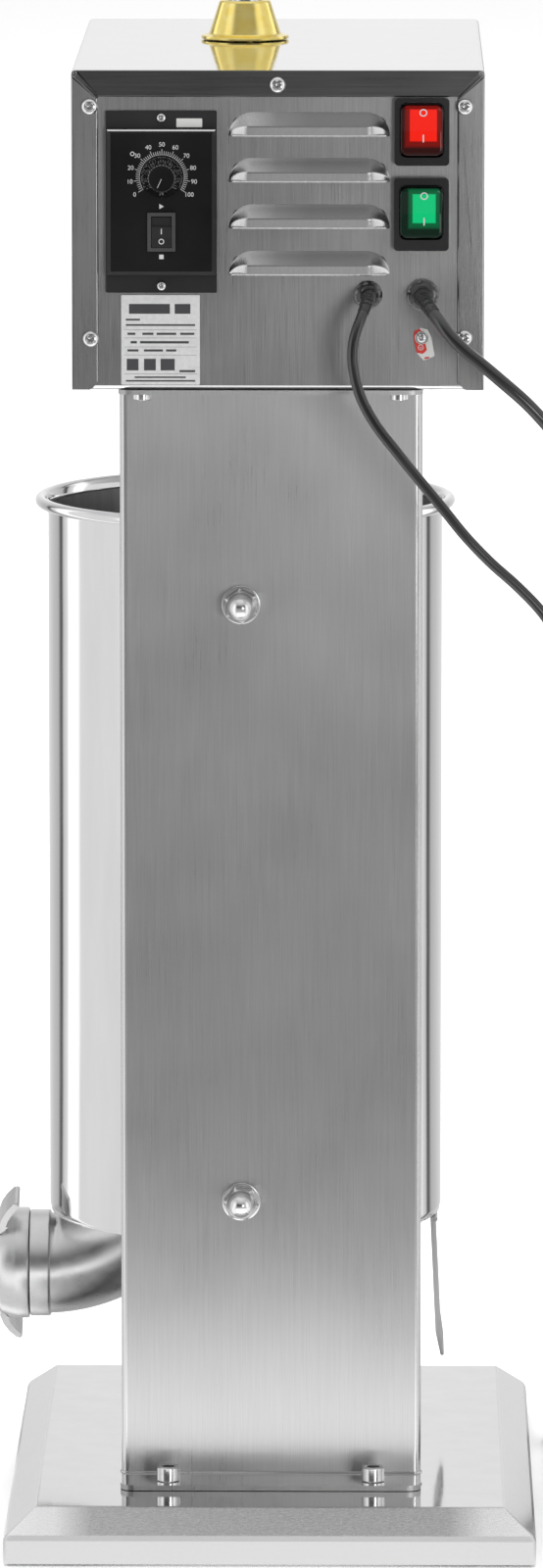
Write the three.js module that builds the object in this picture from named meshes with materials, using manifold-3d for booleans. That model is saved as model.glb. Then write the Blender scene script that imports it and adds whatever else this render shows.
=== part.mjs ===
// An electric vertical sausage stuffer: a folded stainless base and column, a head box that holds the
// gear motor and controls, a lead screw that drives a piston down a lift-off barrel, and a foot switch.
// Millimetres, +Z up. The origin is the centre of the base's footprint, on the surface it stands on.
// -Y is the control side, +Y is the barrel side.
import * as THREE from "three";
import { mergeVertices } from "three/addons/utils/BufferGeometryUtils.js";
import Module from "manifold-3d";

const wasm = await Module();
wasm.setup();

// ---- Driving dimensions ----
const GAP = 0.3; // between parts that touch
const SHEET = 1.5; // folded stainless sheet

const BASE = { halfX: 146, halfY: 210, skirtLow: 1.5, skirtHigh: 15, top: 30, bevel: 17.5 };
const FOOT = { x: 104, y: 176, low: 13, high: 16 };

const COLUMN = { halfX: 83, rear: -121, front: -59, wall: 2, bend: 4.5, top: 641.7 };
const FLANGE = { rear: -153, thick: 3, topThick: 2.5, corner: 8 };
const FLANGE_SCREW = { x: 56.7, y: -140, head: 6.5, headHeight: 8, shank: 4 };
const HEAD_SCREW = { x: 70, y: -140, head: 5, headHeight: 4, shank: 3 };

const AXIS = { x: -16.5, y: 65 }; // lead screw, piston and barrel

const HEAD = { left: -108, right: 116, rear: -154, front: 210, low: 642, high: 816, flange: 14.4 };
const FLOOR = { thick: 3, hole: 12 };
const PANEL = { face: -152.2, thick: SHEET };

const BARREL = { bottom: 148.5, rim: 556, inner: 110, outer: 111.5, bead: 3.25, beadRadius: 115.5, floor: 1.5 };
const SPOUT = { z: 116, outer: 29, inner: 26.5, bendX: -131, bendRadius: 80, face: -147, shoulder: -139.3 };
const NUT = { left: -157.5, right: -139.8, tipRadius: 48, turnDegrees: 25 };
const FLANGE_ROOM = 3.4; // between the outlet's end and the wing nut's shoulder, for a filling tube
const LEG = { x: 88.9, tipX: 95, width: 60, thick: 3, low: 68 };

const HANGER_HEIGHTS = { upper: 520, lower: 187 };
const HANGER = { width: 60, lip: 2, depth: 8.5, low: 18, stud: 4.9 };

const SCREW = { radius: 9.9, bottom: 198, top: 840 };
const PISTON = { low: 190, thick: 24, radius: 108.5, seal: 109.4, hub: 24 };
const VALVE_REACH = 62; // from the piston's middle to its air valve
const CAP = { flange: 24.7, wide: 20, narrow: 13.8, high: 838, bore: 10.6 };

const GEAR = { teeth: 45, pinionTeeth: 15, module: 2.5, low: 660.5, high: 674, backlash: 0.5, spread: 0.5 };
const PLATE = { low: 682, high: 688 };
const MOTOR = { side: 90, gearboxHigh: 738, high: 806, radius: 42 };

const CORD_MAINS = { diameter: 7.2, exit: [82.8, -164, 694] };
const CORD_PEDAL = { diameter: 6, exit: [53.2, -162, 694] };

// Hand-laid routes, from each gland to where the coil begins.
const MAINS_ROUTE = [
  [82.8, -164.3, 694], [83.1, -169.3, 693.7], [83.9, -174.3, 692.6], [87, -183, 688.7], [91.8, -189.5, 682.7],
  [98, -193, 675], [106, -195, 667.3], [114.5, -196, 660.5], [126, -198, 651], [139, -198, 639.5], [152, -196, 625],
  [164, -192, 607], [174, -187, 584], [181, -181, 555], [185, -174, 515], [186, -166, 460],
  [185, -158, 390], [182, -151, 310], [178, -145, 230], [173, -140, 160], [168, -137, 100],
  [165, -136, 53.6], [162.5, -129.3, 28.6], [161, -111, 11], [160, -86, 4.6], [160, -60, 3.7],
  [160, -30, 3.6], [160, 0, 3.6], [160, 30, 3.6], [160, 60, 3.6], [160, 91.2, 3.6],
];
const PEDAL_ROUTE = [
  [53.2, -162.3, 694], [53.1, -166.5, 693.7], [52.7, -170.6, 692.7], [51.1, -177.8, 688.8], [48.6, -183.2, 682.5],
  [46.1, -186, 675.6], [44.7, -187.7, 667], [45.4, -189, 656], [49.4, -191, 641.5], [57.5, -193, 627], [68.9, -195, 612.5],
  [81.1, -196, 597.5], [93.2, -197, 583], [105.8, -198, 567.5], [119.7, -198, 553], [134.2, -198, 540],
  [147.8, -198, 525.5], [160, -198, 506], [171, -198, 479], [179, -197, 440], [184, -196, 390],
  [187, -196, 320], [189, -196, 240], [190, -197, 160], [190, -198, 95], [190, -198, 48],
  [190, -192, 25.5], [190, -175.5, 9], [190, -153, 3.3], [190, -143.4, 3.1],
];
const MAINS_COIL = { x: 204.9, y: 118, outer: 48.8, inner: 33.8, high: 14.6 };
const PEDAL_COIL = { x: 226, y: -121, outer: 39.3, inner: 26.7, high: 12.2 };
const MAINS_PLUG = { y: 162.9, x: 233.6, body: 17.5, length: 62 };
const PEDAL = { left: 172, right: 242, rear: -98.5, front: 10, high: 34, cordX: 190, cordZ: 9 };

const CONTROLLER = { x: -59.2, z: 744.6, width: 60.2, height: 99, plate: 2.2, block: 7.5 };
const KNOB = { x: -58.8, z: 758.6, radius: 11.6, cap: 6.8 };
const RUN_SWITCH = { x: -59.1, z: 728.8, width: 15.2, height: 21.1 };
const POWER_SWITCH = { x: 82.05, z: 782.95, width: 29.7, height: 36.7 };
const WAY_SWITCH = { x: 81.8, z: 738.2, width: 29.8, height: 39.8 };
const LENS = { width: 23.2, height: 27.8 };
const RATING = { left: -81.2, right: -38.4, low: 644.7, high: 693.8 };
const LOUVRE = { left: -22.6, right: 64.7, rise: 12.8, out: 6, lips: [780.5, 755.6, 730.4, 705] };
const EARTH = { x: 82, z: 670.6 };

// ---- Finishes ----
const finish = (color, roughness, metalness) => new THREE.MeshStandardMaterial({ color, roughness, metalness });
const FINISHES = {
  brushed: () => finish(0xa9abad, 0.38, 1),
  polished: () => finish(0xd9dadb, 0.12, 1),
  zinc: () => finish(0xc9ccd0, 0.25, 1),
  brass: () => finish(0xd8b43c, 0.2, 1),
  bronze: () => finish(0xa97a3a, 0.4, 1),
  castIron: () => finish(0x55585c, 0.7, 0.6),
  motorPaint: () => finish(0x33363a, 0.5, 0.3),
  blackPlastic: () => finish(0x101113, 0.35, 0),
  rubber: () => finish(0x17181a, 0.8, 0),
  silicone: () => finish(0xd9d4c8, 0.6, 0),
  nylon: () => finish(0xe8e8e4, 0.5, 0),
  sticker: () => finish(0xbfc2c6, 0.4, 0.3),
  redTag: () => finish(0xb02a24, 0.5, 0),
  redLens: () => finish(0xe01606, 0.15, 0),
  greenLens: () => finish(0x03a860, 0.15, 0),
  cord: () => finish(0x0c0c0e, 0.3, 0),
};

// ---- Shape helpers ----
function solidOf(geometry) {
  const bare = geometry.clone();
  bare.deleteAttribute("normal");
  bare.deleteAttribute("uv");
  const merged = mergeVertices(bare, 1e-4);
  const vertProperties = new Float32Array(merged.attributes.position.array);
  const triVerts = new Uint32Array(merged.index.array);
  return new wasm.Manifold(new wasm.Mesh({ numProp: 3, vertProperties, triVerts }));
}

function geometryOf(solid) {
  const mesh = solid.getMesh();
  const geometry = new THREE.BufferGeometry();
  geometry.setAttribute("position", new THREE.BufferAttribute(new Float32Array(mesh.vertProperties), 3));
  geometry.setIndex(new THREE.BufferAttribute(new Uint32Array(mesh.triVerts), 1));
  geometry.computeVertexNormals();
  return geometry;
}

const joined = (first, ...others) => others.reduce((sum, next) => sum.add(next), first);
const cut = (body, ...tools) => tools.reduce((rest, tool) => rest.subtract(tool), body);

const outline = (points) => new THREE.Shape(points.map(([u, v]) => new THREE.Vector2(u, v)));

function boxed([x0, x1], [y0, y1], [z0, z1]) {
  const geometry = new THREE.BoxGeometry(x1 - x0, y1 - y0, z1 - z0);
  return solidOf(geometry.translate((x0 + x1) / 2, (y0 + y1) / 2, (z0 + z1) / 2));
}

// A shape drawn in X and Y, raised from z0 to z1.
function raised(shape, z0, z1, curveSegments = 6) {
  const geometry = new THREE.ExtrudeGeometry(shape, { depth: z1 - z0, bevelEnabled: false, curveSegments });
  return solidOf(geometry.translate(0, 0, z0));
}

// A shape drawn in Y and Z, drawn out from x0 to x1.
function alongX(shape, x0, x1, curveSegments = 6) {
  const geometry = new THREE.ExtrudeGeometry(shape, { depth: x1 - x0, bevelEnabled: false, curveSegments });
  const turn = new THREE.Matrix4().makeBasis(
    new THREE.Vector3(0, 1, 0), new THREE.Vector3(0, 0, 1), new THREE.Vector3(1, 0, 0));
  return solidOf(geometry.applyMatrix4(turn).translate(x0, 0, 0));
}

// A shape drawn in X and Z, drawn out from y0 to y1.
function alongY(shape, y0, y1, curveSegments = 6) {
  const geometry = new THREE.ExtrudeGeometry(shape, { depth: y1 - y0, bevelEnabled: false, curveSegments });
  return solidOf(geometry.rotateX(Math.PI / 2).translate(0, y1, 0));
}

// A closed [radius, height] profile turned about Z. Profiles run counter-clockwise.
function turned(profile, segments = 32) {
  const closed = profile[0][0] === 0 ? profile : [...profile, profile[0]];
  const points = closed.map(([r, h]) => new THREE.Vector2(r, h));
  return solidOf(new THREE.LatheGeometry(points, segments).rotateX(Math.PI / 2));
}

// The same about -Y: height counts outwards, away from the control side's faces.
const turnedOut = (profile, segments) => turned(profile, segments).rotate([90, 0, 0]);
// The same about -X.
const turnedLeft = (profile, segments) => turned(profile, segments).rotate([0, -90, 0]);

const disc = (radius, low, high, segments) => turned([[0, low], [radius, low], [radius, high], [0, high]], segments);
const ring = (inner, outer, low, high, segments) =>
  turned([[inner, low], [outer, low], [outer, high], [inner, high]], segments);

function roundedRect(width, height, radius) {
  const shape = new THREE.Shape();
  const [x, y] = [width / 2 - radius, height / 2 - radius];
  shape.absarc(x, -y, radius, -Math.PI / 2, 0);
  shape.absarc(x, y, radius, 0, Math.PI / 2);
  shape.absarc(-x, y, radius, Math.PI / 2, Math.PI);
  shape.absarc(-x, -y, radius, Math.PI, 1.5 * Math.PI);
  return shape;
}

function regular(sides, acrossFlats) {
  const corner = acrossFlats / 2 / Math.cos(Math.PI / sides);
  const turn = (2 * Math.PI) / sides;
  return outline([...Array(sides).keys()].map((i) => [corner * Math.cos(i * turn), corner * Math.sin(i * turn)]));
}

// ---- Scene graph ----
const stuffer = new THREE.Group();
const assembly = (x, y, z, parent = stuffer) => {
  const group = new THREE.Group();
  group.position.set(x, y, z);
  parent.add(group);
  return group;
};
function piece(name, solid, look, parent = stuffer, [x, y, z] = [0, 0, 0]) {
  const mesh = new THREE.Mesh(geometryOf(solid), FINISHES[look]());
  mesh.name = name;
  mesh.position.set(x, y, z);
  parent.add(mesh);
  return mesh;
}

// ---- Base: a folded tray on four rubber feet ----
function trayBlock(inset) {
  const { skirtLow, skirtHigh, top, bevel } = BASE;
  const low = inset ? skirtLow - 10 : skirtLow;
  const profile = (half) => outline([
    [-(half - inset), low], [half - inset, low], [half - inset, skirtHigh - inset / 2],
    [half - bevel - inset / 2, top - inset], [-(half - bevel - inset / 2), top - inset],
    [-(half - inset), skirtHigh - inset / 2],
  ]);
  const reachX = BASE.halfX + 20;
  const reachY = BASE.halfY + 20;
  return alongY(profile(BASE.halfX), -reachY, reachY).intersect(alongX(profile(BASE.halfY), -reachX, reachX));
}

function makeBase() {
  const screwHoles = [-1, 1].map((side) =>
    disc(FLANGE_SCREW.shank + 0.5, 20, 40, 16).translate([side * FLANGE_SCREW.x, FLANGE_SCREW.y, 0]));
  piece("base_tray", cut(trayBlock(0), trayBlock(SHEET), ...screwHoles), "polished");
  const footTop = BASE.top - SHEET - GAP;
  const foot = turned([[0, 0], [FOOT.low, 0], [FOOT.high, footTop], [0, footTop]], 20);
  for (const [endName, endSign] of [["rear", -1], ["front", 1]])
    for (const [sideName, sideSign] of [["left", -1], ["right", 1]])
      piece(`foot_${endName}_${sideName}`, foot, "rubber", stuffer, [sideSign * FOOT.x, endSign * FOOT.y, 0]);
}

// ---- Column: a folded box with a bolted flange at each end ----
function flangeShape() {
  const { halfX, front } = COLUMN;
  const { rear, corner } = FLANGE;
  const shape = new THREE.Shape();
  shape.moveTo(halfX, front);
  shape.lineTo(-halfX, front);
  shape.absarc(-halfX + corner, rear + corner, corner, Math.PI, 1.5 * Math.PI);
  shape.absarc(halfX - corner, rear + corner, corner, -Math.PI / 2, 0);
  return shape;
}

function columnSection(inset) {
  const { halfX, rear, front, bend } = COLUMN;
  const shape = new THREE.Shape();
  shape.moveTo(halfX - inset, front - inset);
  shape.lineTo(-halfX + inset, front - inset);
  shape.absarc(-halfX + bend, rear + bend, bend - inset, Math.PI, 1.5 * Math.PI);
  shape.absarc(halfX - bend, rear + bend, bend - inset, -Math.PI / 2, 0);
  return shape;
}

function capScrew({ head, headHeight, shank }, shankLength) {
  const screw = turned([
    [0, -shankLength], [shank, -shankLength], [shank, 0], [head, 0], [head, headHeight - 0.8],
    [head - 0.8, headHeight], [0, headHeight],
  ], 12);
  return cut(screw, raised(regular(6, head * 0.92), headHeight / 2, headHeight + 1));
}

function makeColumn() {
  const { rear, wall, top } = COLUMN;
  const footLow = BASE.top + GAP;
  const footHigh = footLow + FLANGE.thick;
  const studHoles = Object.values(HANGER_HEIGHTS).map((z) =>
    turnedOut([[0, -80], [5.5, -80], [5.5, 60], [0, 60]], 16).translate([AXIS.x, -90, z]));
  const screwHoles = [[FLANGE_SCREW, 20], [HEAD_SCREW, top - 10]].flatMap(([screw, low]) => [-1, 1].map((side) =>
    disc(screw.shank + 0.5, low, low + 30, 12).translate([side * screw.x, screw.y, 0])));
  const tube = raised(columnSection(0), footHigh - 0.5, top - FLANGE.topThick + 0.5, 3);
  const flanges = [raised(flangeShape(), footLow, footHigh), raised(flangeShape(), top - FLANGE.topThick, top)];
  const inside = raised(columnSection(wall), footLow - 5, top + 5, 3);
  piece("column", cut(joined(tube, ...flanges), inside, ...studHoles, ...screwHoles), "brushed");

  const flangeScrew = capScrew(FLANGE_SCREW, 14);
  const headScrew = capScrew(HEAD_SCREW, 12).rotate([180, 0, 0]);
  for (const [sideName, side] of [["left", -1], ["right", 1]]) {
    const at = [side * FLANGE_SCREW.x, FLANGE_SCREW.y, footHigh + GAP];
    piece(`flange_screw_${sideName}`, flangeScrew, "zinc", stuffer, at);
    const under = [side * HEAD_SCREW.x, HEAD_SCREW.y, top - FLANGE.topThick - GAP];
    piece(`head_screw_${sideName}`, headScrew, "zinc", stuffer, under);
  }

  for (const [name, z] of Object.entries(HANGER_HEIGHTS)) {
    const washer = turnedOut([[5.5, 0], [10.5, 0], [10.5, 2], [5.5, 2]], 16);
    piece(`washer_${name}`, washer, "zinc", stuffer, [AXIS.x, rear - GAP, z]);
    const hexagon = raised(regular(6, 17), 0, 8);
    const dome = turned([
      [0, 4], [8, 4], [8, 9.5], [7, 13.5], [4.6, 16.6], [0, 18],
    ], 18);
    const nut = cut(joined(hexagon, dome), disc(5.2, -1, 10.5, 16)).rotate([90, 0, 0]);
    piece(`dome_nut_${name}`, nut, "zinc", stuffer, [AXIS.x, rear - 2 - 2 * GAP, z]);
  }
}

// ---- Hangers on the column, and the hooks that hold the barrel on them ----
function makeHangers() {
  const { width, lip, depth, low, stud } = HANGER;
  const face = COLUMN.front + GAP;
  const section = outline([
    [face, -low], [face + depth, -low], [face + depth, -lip], [face + depth - lip, -lip],
    [face + depth - lip, -low + lip], [face + lip, -low + lip], [face + lip, 12], [face, 12],
  ]);
  const studLength = face - COLUMN.rear + 12;
  const bar = turnedOut([[0, -1], [stud, -1], [stud, studLength], [0, studLength]], 16);
  const bracket = joined(alongX(section, -width / 2, width / 2), bar.translate([0, face, 0]));
  for (const [name, z] of Object.entries(HANGER_HEIGHTS))
    piece(`hanger_${name}`, bracket, "brushed", stuffer, [AXIS.x, 0, z]);
}

function makeBarrelHooks(parent) {
  const { width, lip } = HANGER;
  const back = COLUMN.front + GAP + lip + 1 - AXIS.y; // the hook plate, measured from the barrel's axis
  const lipTop = -lip;
  const inner = -BARREL.outer - GAP;
  const section = outline([
    [back, -13], [back + 2.4, -13], [back + 2.4, lipTop + GAP], [inner - 1.6, lipTop + GAP],
    [inner - 1.6, -13], [inner + 6, -13], [inner + 6, lipTop + GAP + 2.4], [back, lipTop + GAP + 2.4],
  ]);
  const wall = disc(BARREL.outer + GAP, -40, 40, 96);
  const hook = cut(alongX(section, -width / 2 + 6, width / 2 - 6), wall);
  for (const [name, z] of Object.entries(HANGER_HEIGHTS))
    piece(`barrel_hook_${name}`, hook, "brushed", parent, [0, 0, z - BARREL.bottom]);
}

// ---- Head box ----
function makeHead() {
  const { left, right, rear, front, low, high, flange } = HEAD;
  const shell = boxed([left, right], [rear, front], [low, high]);
  const cavity = boxed([left + SHEET, right - SHEET], [rear + SHEET, front - SHEET], [low - 10, high - SHEET]);
  const mouth = boxed([left + flange, right - flange], [rear - 10, rear + 10], [low - 10, high - flange]);
  const capHole = disc(17, high - 10, high + 10, 24).translate([AXIS.x, AXIS.y, 0]);
  const screwHoles = panelScrewPlaces().map(([, x, z]) =>
    turnedOut([[0, -10], [3, -10], [3, 10], [0, 10]], 12).translate([x, rear, z]));
  piece("head_cover", cut(shell, cavity, mouth, capHole, ...screwHoles), "brushed");

  const inset = SHEET + GAP;
  const plate = boxed([left + inset, right - inset], [PANEL.face + PANEL.thick + GAP, front - inset],
    [low, low + FLOOR.thick]);
  const throat = disc(FLOOR.hole, low - 10, low + 10, 24).translate([AXIS.x, AXIS.y, 0]);
  const bolts = [-1, 1].map((side) =>
    disc(HEAD_SCREW.shank + 0.5, low - 5, low + 10, 12).translate([side * HEAD_SCREW.x, HEAD_SCREW.y, 0]));
  piece("head_floor_plate", cut(plate, throat, ...bolts), "brushed");

  const { flange: brim, wide, narrow, high: tip, bore } = CAP;
  const cap = turned([
    [bore, high - 12], [16, high - 12], [16, high + GAP], [brim, high + GAP], [brim, high + 2.5],
    [wide, high + 3], [narrow, tip], [bore, tip],
  ], 24);
  piece("guide_cap", cap, "brass", stuffer, [AXIS.x, AXIS.y, 0]);
}

// ---- Rear panel with its louvres, and what is screwed or clipped into it ----
function panelScrewPlaces() {
  return [
    ["top", 3.8, 808.2], ["upper_left", -98.1, 796.4], ["upper_right", 105.3, 796.4],
    ["lower_left", -97.7, 670], ["lower_right", 105.3, 670.6],
  ];
}

function makeRearPanel() {
  const { face, thick } = PANEL;
  const back = face + thick;
  const side = HEAD.left + SHEET + GAP;
  const opposite = HEAD.right - SHEET - GAP;
  const sheet = boxed([side, opposite], [face, back], [HEAD.low, HEAD.high - SHEET - GAP]);
  const { left, right, rise, out, lips } = LOUVRE;
  const hood = (inset, behind) => outline([
    [face - out + inset, 0], [behind, 0], [behind, rise - inset * 2], [face + inset - 0.5, rise - inset * 2],
  ]);
  const hoods = lips.map((z) => alongX(hood(0, back), left, right).translate([0, 0, z]));
  const vents = lips.map((z) =>
    alongX(hood(1.2, back + 1), left + 1.5, right - 1.5).translate([0, 0, z - 1]));
  const hole = (x, z, width, height) => boxed(
    [x - width / 2, x + width / 2], [face - 5, back + 5], [z - height / 2, z + height / 2]);
  const round = (x, z, radius) => turnedOut([[0, -6], [radius, -6], [radius, 6], [0, 6]], 16).translate([x, face, z]);
  const openings = [
    hole(CONTROLLER.x, CONTROLLER.z, 54, 76),
    hole(POWER_SWITCH.x, POWER_SWITCH.z, 24, 31),
    hole(WAY_SWITCH.x, WAY_SWITCH.z, 24, 31),
    round(CORD_PEDAL.exit[0], CORD_PEDAL.exit[2], 5.6),
    round(CORD_MAINS.exit[0], CORD_MAINS.exit[2], 6.6),
    round(EARTH.x, EARTH.z, 2.6),
    ...panelScrewPlaces().map(([, x, z]) => round(x, z, 3)),
  ];
  piece("rear_panel", cut(joined(sheet, ...hoods), ...vents, ...openings), "brushed");

  const screw = turnedOut([
    [0, -6], [2.4, -6], [2.4, GAP], [4.5, GAP], [4.2, 1.7], [2.8, 2.7], [0, 3],
  ], 12);
  for (const [name, x, z] of panelScrewPlaces())
    piece(`panel_screw_${name}`, screw, "zinc", stuffer, [x, HEAD.rear, z]);

  const { left: l, right: r, low, high } = RATING;
  piece("rating_plate", boxed([l, r], [face - 0.9, face - GAP], [low, high]), "sticker");

  const tag = outline([[-3, 5.2], [4.5, 5.2], [7, 1], [5.5, -12.5], [-3.2, -14]]);
  const lug = joined(alongY(tag, -0.9, -GAP), turnedOut([[0, 0.6], [3.6, 0.6], [3.2, 3.4], [0, 3.8]], 14));
  piece("earth_terminal", lug, "redTag", stuffer, [EARTH.x, face, EARTH.z]);

  const gland = (neck, bore, brim, nose, length) => turnedOut([
    [bore, -8], [neck, -8], [neck, GAP], [brim, GAP], [brim, 5], [nose + 1.2, 7.5], [nose, length],
    [bore, length],
  ], 16);
  const pedalExit = -CORD_PEDAL.exit[1] + face;
  const mainsExit = -CORD_MAINS.exit[1] + face;
  piece("gland_pedal", gland(5.2, 3.3, 7.65, 5, pedalExit), "blackPlastic", stuffer,
    [CORD_PEDAL.exit[0], face, CORD_PEDAL.exit[2]]);
  piece("gland_mains", gland(6.2, 3.9, 8.75, 5.8, mainsExit), "blackPlastic", stuffer,
    [CORD_MAINS.exit[0], face, CORD_MAINS.exit[2]]);
}

// A frame with a snap-in body behind it, and a rocker that tips in it about X.
function rockerSwitch(name, place, lens, look, parent) {
  const { x, z, width, height } = place;
  const deep = 24;
  const frontFace = 5.5;
  const rim = alongY(roundedRect(width, height, 2.5), -frontFace, -GAP, 3);
  const body = alongY(roundedRect(23, 30, 1), -2, deep, 1);
  const well = alongY(roundedRect(lens.width + 0.8, lens.height + 0.8, 0.6), -frontFace - 5, 16, 1);
  piece(`${name}_frame`, cut(joined(rim, body), well), "blackPlastic", parent, [x, 0, z]);
  piece(`${name}_rocker`, rockerSolid(lens, frontFace), look, parent, [x, 0, z]);
}

// The lens stands proud at its top edge and sits level at its bottom edge.
function rockerSolid({ width, height }, frontFace) {
  const half = height / 2;
  const section = outline([
    [-frontFace - 4, half - 1], [-frontFace - 1.4, 0], [-frontFace - 1.4, -half + 1], [-1, -half + 1],
    [6, -4], [6, 4], [-1, half - 1],
  ]);
  return alongX(section, -width / 2, width / 2);
}

function makeControls() {
  const panel = assembly(0, PANEL.face, 0);
  const { x, z, width, height, plate, block } = CONTROLLER;
  const base = alongY(roundedRect(width, height, 1), -plate, -GAP, 2);
  const raisedBlock = alongY(roundedRect(width, 79.5, 0.8), -block, -plate + 1, 2);
  const inside = alongY(roundedRect(53, 75, 1), -1, 50, 2);
  const knobWell = turnedOut([[0, 4], [2.4, 4], [2.4, 20], [0, 20]], 12).translate([KNOB.x - x, 0, KNOB.z - z]);
  const rockerWell = boxed([-8, 8], [-20, 4], [-11, 11]).translate([RUN_SWITCH.x - x, 0, RUN_SWITCH.z - z]);
  piece("speed_controller", cut(joined(base, raisedBlock, inside), knobWell, rockerWell), "blackPlastic", panel,
    [x, 0, z]);

  const knobBase = block + GAP;
  const skirt = turnedOut([
    [0, 4.5], [2, 4.5], [2, knobBase], [KNOB.radius, knobBase], [KNOB.radius, knobBase + 2],
    [KNOB.radius - 1.2, knobBase + 9], [KNOB.cap, knobBase + 9.6], [KNOB.cap - 0.6, knobBase + 12.5],
    [0, knobBase + 12.5],
  ], 20);
  piece("speed_knob", skirt, "zinc", panel, [KNOB.x, 0, KNOB.z]);
  const half = RUN_SWITCH.height / 2 - 0.6;
  const paddle = alongX(outline([
    [-block - 2.6, half], [-block - 0.6, 0], [-block - 0.2, -half], [-1.5, -half], [1.5, -3], [1.5, 3], [-1.5, half],
  ]), -6.8, 6.8);
  piece("run_rocker", paddle, "blackPlastic", panel, [RUN_SWITCH.x, 0, RUN_SWITCH.z]);

  rockerSwitch("power", POWER_SWITCH, LENS, "redLens", panel);
  rockerSwitch("direction", WAY_SWITCH, LENS, "greenLens", panel);
}

// ---- Drive: motor, gearbox, pinion and the geared nut that raises the lead screw ----
function gearSolid(teeth, bore, low, high, startAngle) {
  const { module: m, backlash } = GEAR;
  const pitch = (teeth * m) / 2;
  const slope = Math.tan(THREE.MathUtils.degToRad(20));
  const radii = [pitch - 1.25 * m, pitch + 0.8 * m];
  const halfAngles = radii.map((radius) => ((Math.PI * m) / 4 - backlash - (radius - pitch) * slope) / radius);
  const points = [];
  for (let tooth = 0; tooth < teeth; tooth++) {
    const middle = startAngle + (2 * Math.PI * tooth) / teeth;
    const put = (radius, angle) => points.push([radius * Math.cos(angle), radius * Math.sin(angle)]);
    put(radii[0], middle - halfAngles[0]);
    put(radii[1], middle - halfAngles[1]);
    put(radii[1], middle + halfAngles[1]);
    put(radii[0], middle + halfAngles[0]);
  }
  return cut(raised(outline(points), low, high), disc(bore, low - 5, high + 5, 24));
}

function makeDrive() {
  const { low, high, teeth, pinionTeeth, module: m, spread } = GEAR;
  const floor = HEAD.low + FLOOR.thick + GAP;
  const nutFlange = low - 4 - GAP;
  const screwAxis = assembly(AXIS.x, AXIS.y, 0);
  piece("nut_bearing", ring(22, 35, floor, nutFlange - GAP, 24), "castIron", screwAxis);
  const nut = turned([
    [SCREW.radius + 0.4, floor + 1], [21.5, floor + 1], [21.5, nutFlange], [30, nutFlange], [30, low - GAP],
    [21.5, low - GAP], [21.5, PLATE.high + 12], [SCREW.radius + 0.4, PLATE.high + 12],
  ], 24);
  piece("lead_nut", nut, "bronze", screwAxis);
  piece("drive_gear", gearSolid(teeth, 21.9, low, high, -Math.PI / 2), "castIron", screwAxis);

  const centres = ((teeth + pinionTeeth) * m) / 2 + spread;
  const motorAxis = assembly(AXIS.x, AXIS.y - centres, 0);
  const pinion = gearSolid(pinionTeeth, 1, low, high, Math.PI / 2 + Math.PI / pinionTeeth);
  const shaft = disc(7.5, low - 1, PLATE.high - 1, 20);
  piece("motor_pinion", joined(pinion, shaft), "zinc", motorAxis);

  const half = MOTOR.side / 2;
  const gearbox = raised(roundedRect(MOTOR.side, MOTOR.side, 6), PLATE.high + GAP, MOTOR.gearboxHigh, 3);
  piece("gearbox", gearbox, "motorPaint", motorAxis);
  const motor = turned([
    [0, MOTOR.gearboxHigh + GAP], [half - 1, MOTOR.gearboxHigh + GAP], [half - 1, MOTOR.gearboxHigh + 8],
    [MOTOR.radius, MOTOR.gearboxHigh + 8], [MOTOR.radius, MOTOR.high - 6], [MOTOR.radius - 6, MOTOR.high],
    [0, MOTOR.high],
  ], 24);
  piece("motor", motor, "motorPaint", motorAxis);

  const legs = [[-70, -60], [62, -60], [-80, 101], [47, 101]];
  const plate = boxed([-92, 72], [-70, 111], [PLATE.low, PLATE.high]);
  const posts = legs.map(([x, y]) => disc(6, floor, PLATE.low + 1, 12).translate([x, y, 0]));
  const nutWay = disc(24, PLATE.low - 5, PLATE.high + 5, 24).translate([AXIS.x, AXIS.y, 0]);
  const shaftWay = disc(9.5, PLATE.low - 5, PLATE.high + 5, 20).translate([AXIS.x, AXIS.y - centres, 0]);
  piece("gear_plate", cut(joined(plate, ...posts), nutWay, shaftWay), "brushed");
}

// ---- Ram: lead screw, piston, seal and air valve ----
function makeRam() {
  const ram = assembly(AXIS.x, AXIS.y, 0);
  const { radius, bottom, top } = SCREW;
  const screw = turned([
    [0, bottom], [radius, bottom], [radius, top - 2], [radius - 2, top], [2.5, top], [0, top - 2.5],
  ], 28);
  piece("lead_screw", screw, "zinc", ram);

  const { low, thick, radius: rim, seal, hub } = PISTON;
  const groove = { low: low + 6, high: low + 18, radius: 102 };
  const disk = turned([
    [0, low], [rim - 2, low], [rim, low + 2], [rim, groove.low - GAP], [groove.radius, groove.low - GAP],
    [groove.radius, groove.high + GAP], [rim, groove.high + GAP], [rim, low + thick], [hub + 12, low + thick],
    [hub, low + thick + 8], [radius + GAP, low + thick + 8], [radius + GAP, bottom - GAP], [0, bottom - GAP],
  ], 40);
  const valveHole = disc(5.5, low - 5, low + thick + 15, 16).translate([VALVE_REACH, 0, 0]);
  piece("piston_disc", cut(disk, valveHole), "nylon", ram);
  const lip = turned([
    [groove.radius + 1, groove.low], [seal - 0.6, groove.low], [seal, (groove.low + groove.high) / 2],
    [seal - 0.6, groove.high], [groove.radius + 1, groove.high],
  ], 40);
  piece("piston_seal", lip, "silicone", ram);

  const travel = 4;
  const valve = turned([
    [0, low - travel - 3], [9, low - travel - 3], [9, low - travel - 1], [5, low - travel - 1],
    [5, low + thick + GAP], [9, low + thick + GAP], [8, low + thick + 3], [0, low + thick + 3.5],
  ], 14);
  piece("air_valve", valve, "silicone", ram, [VALVE_REACH, 0, 0]);
}

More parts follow.
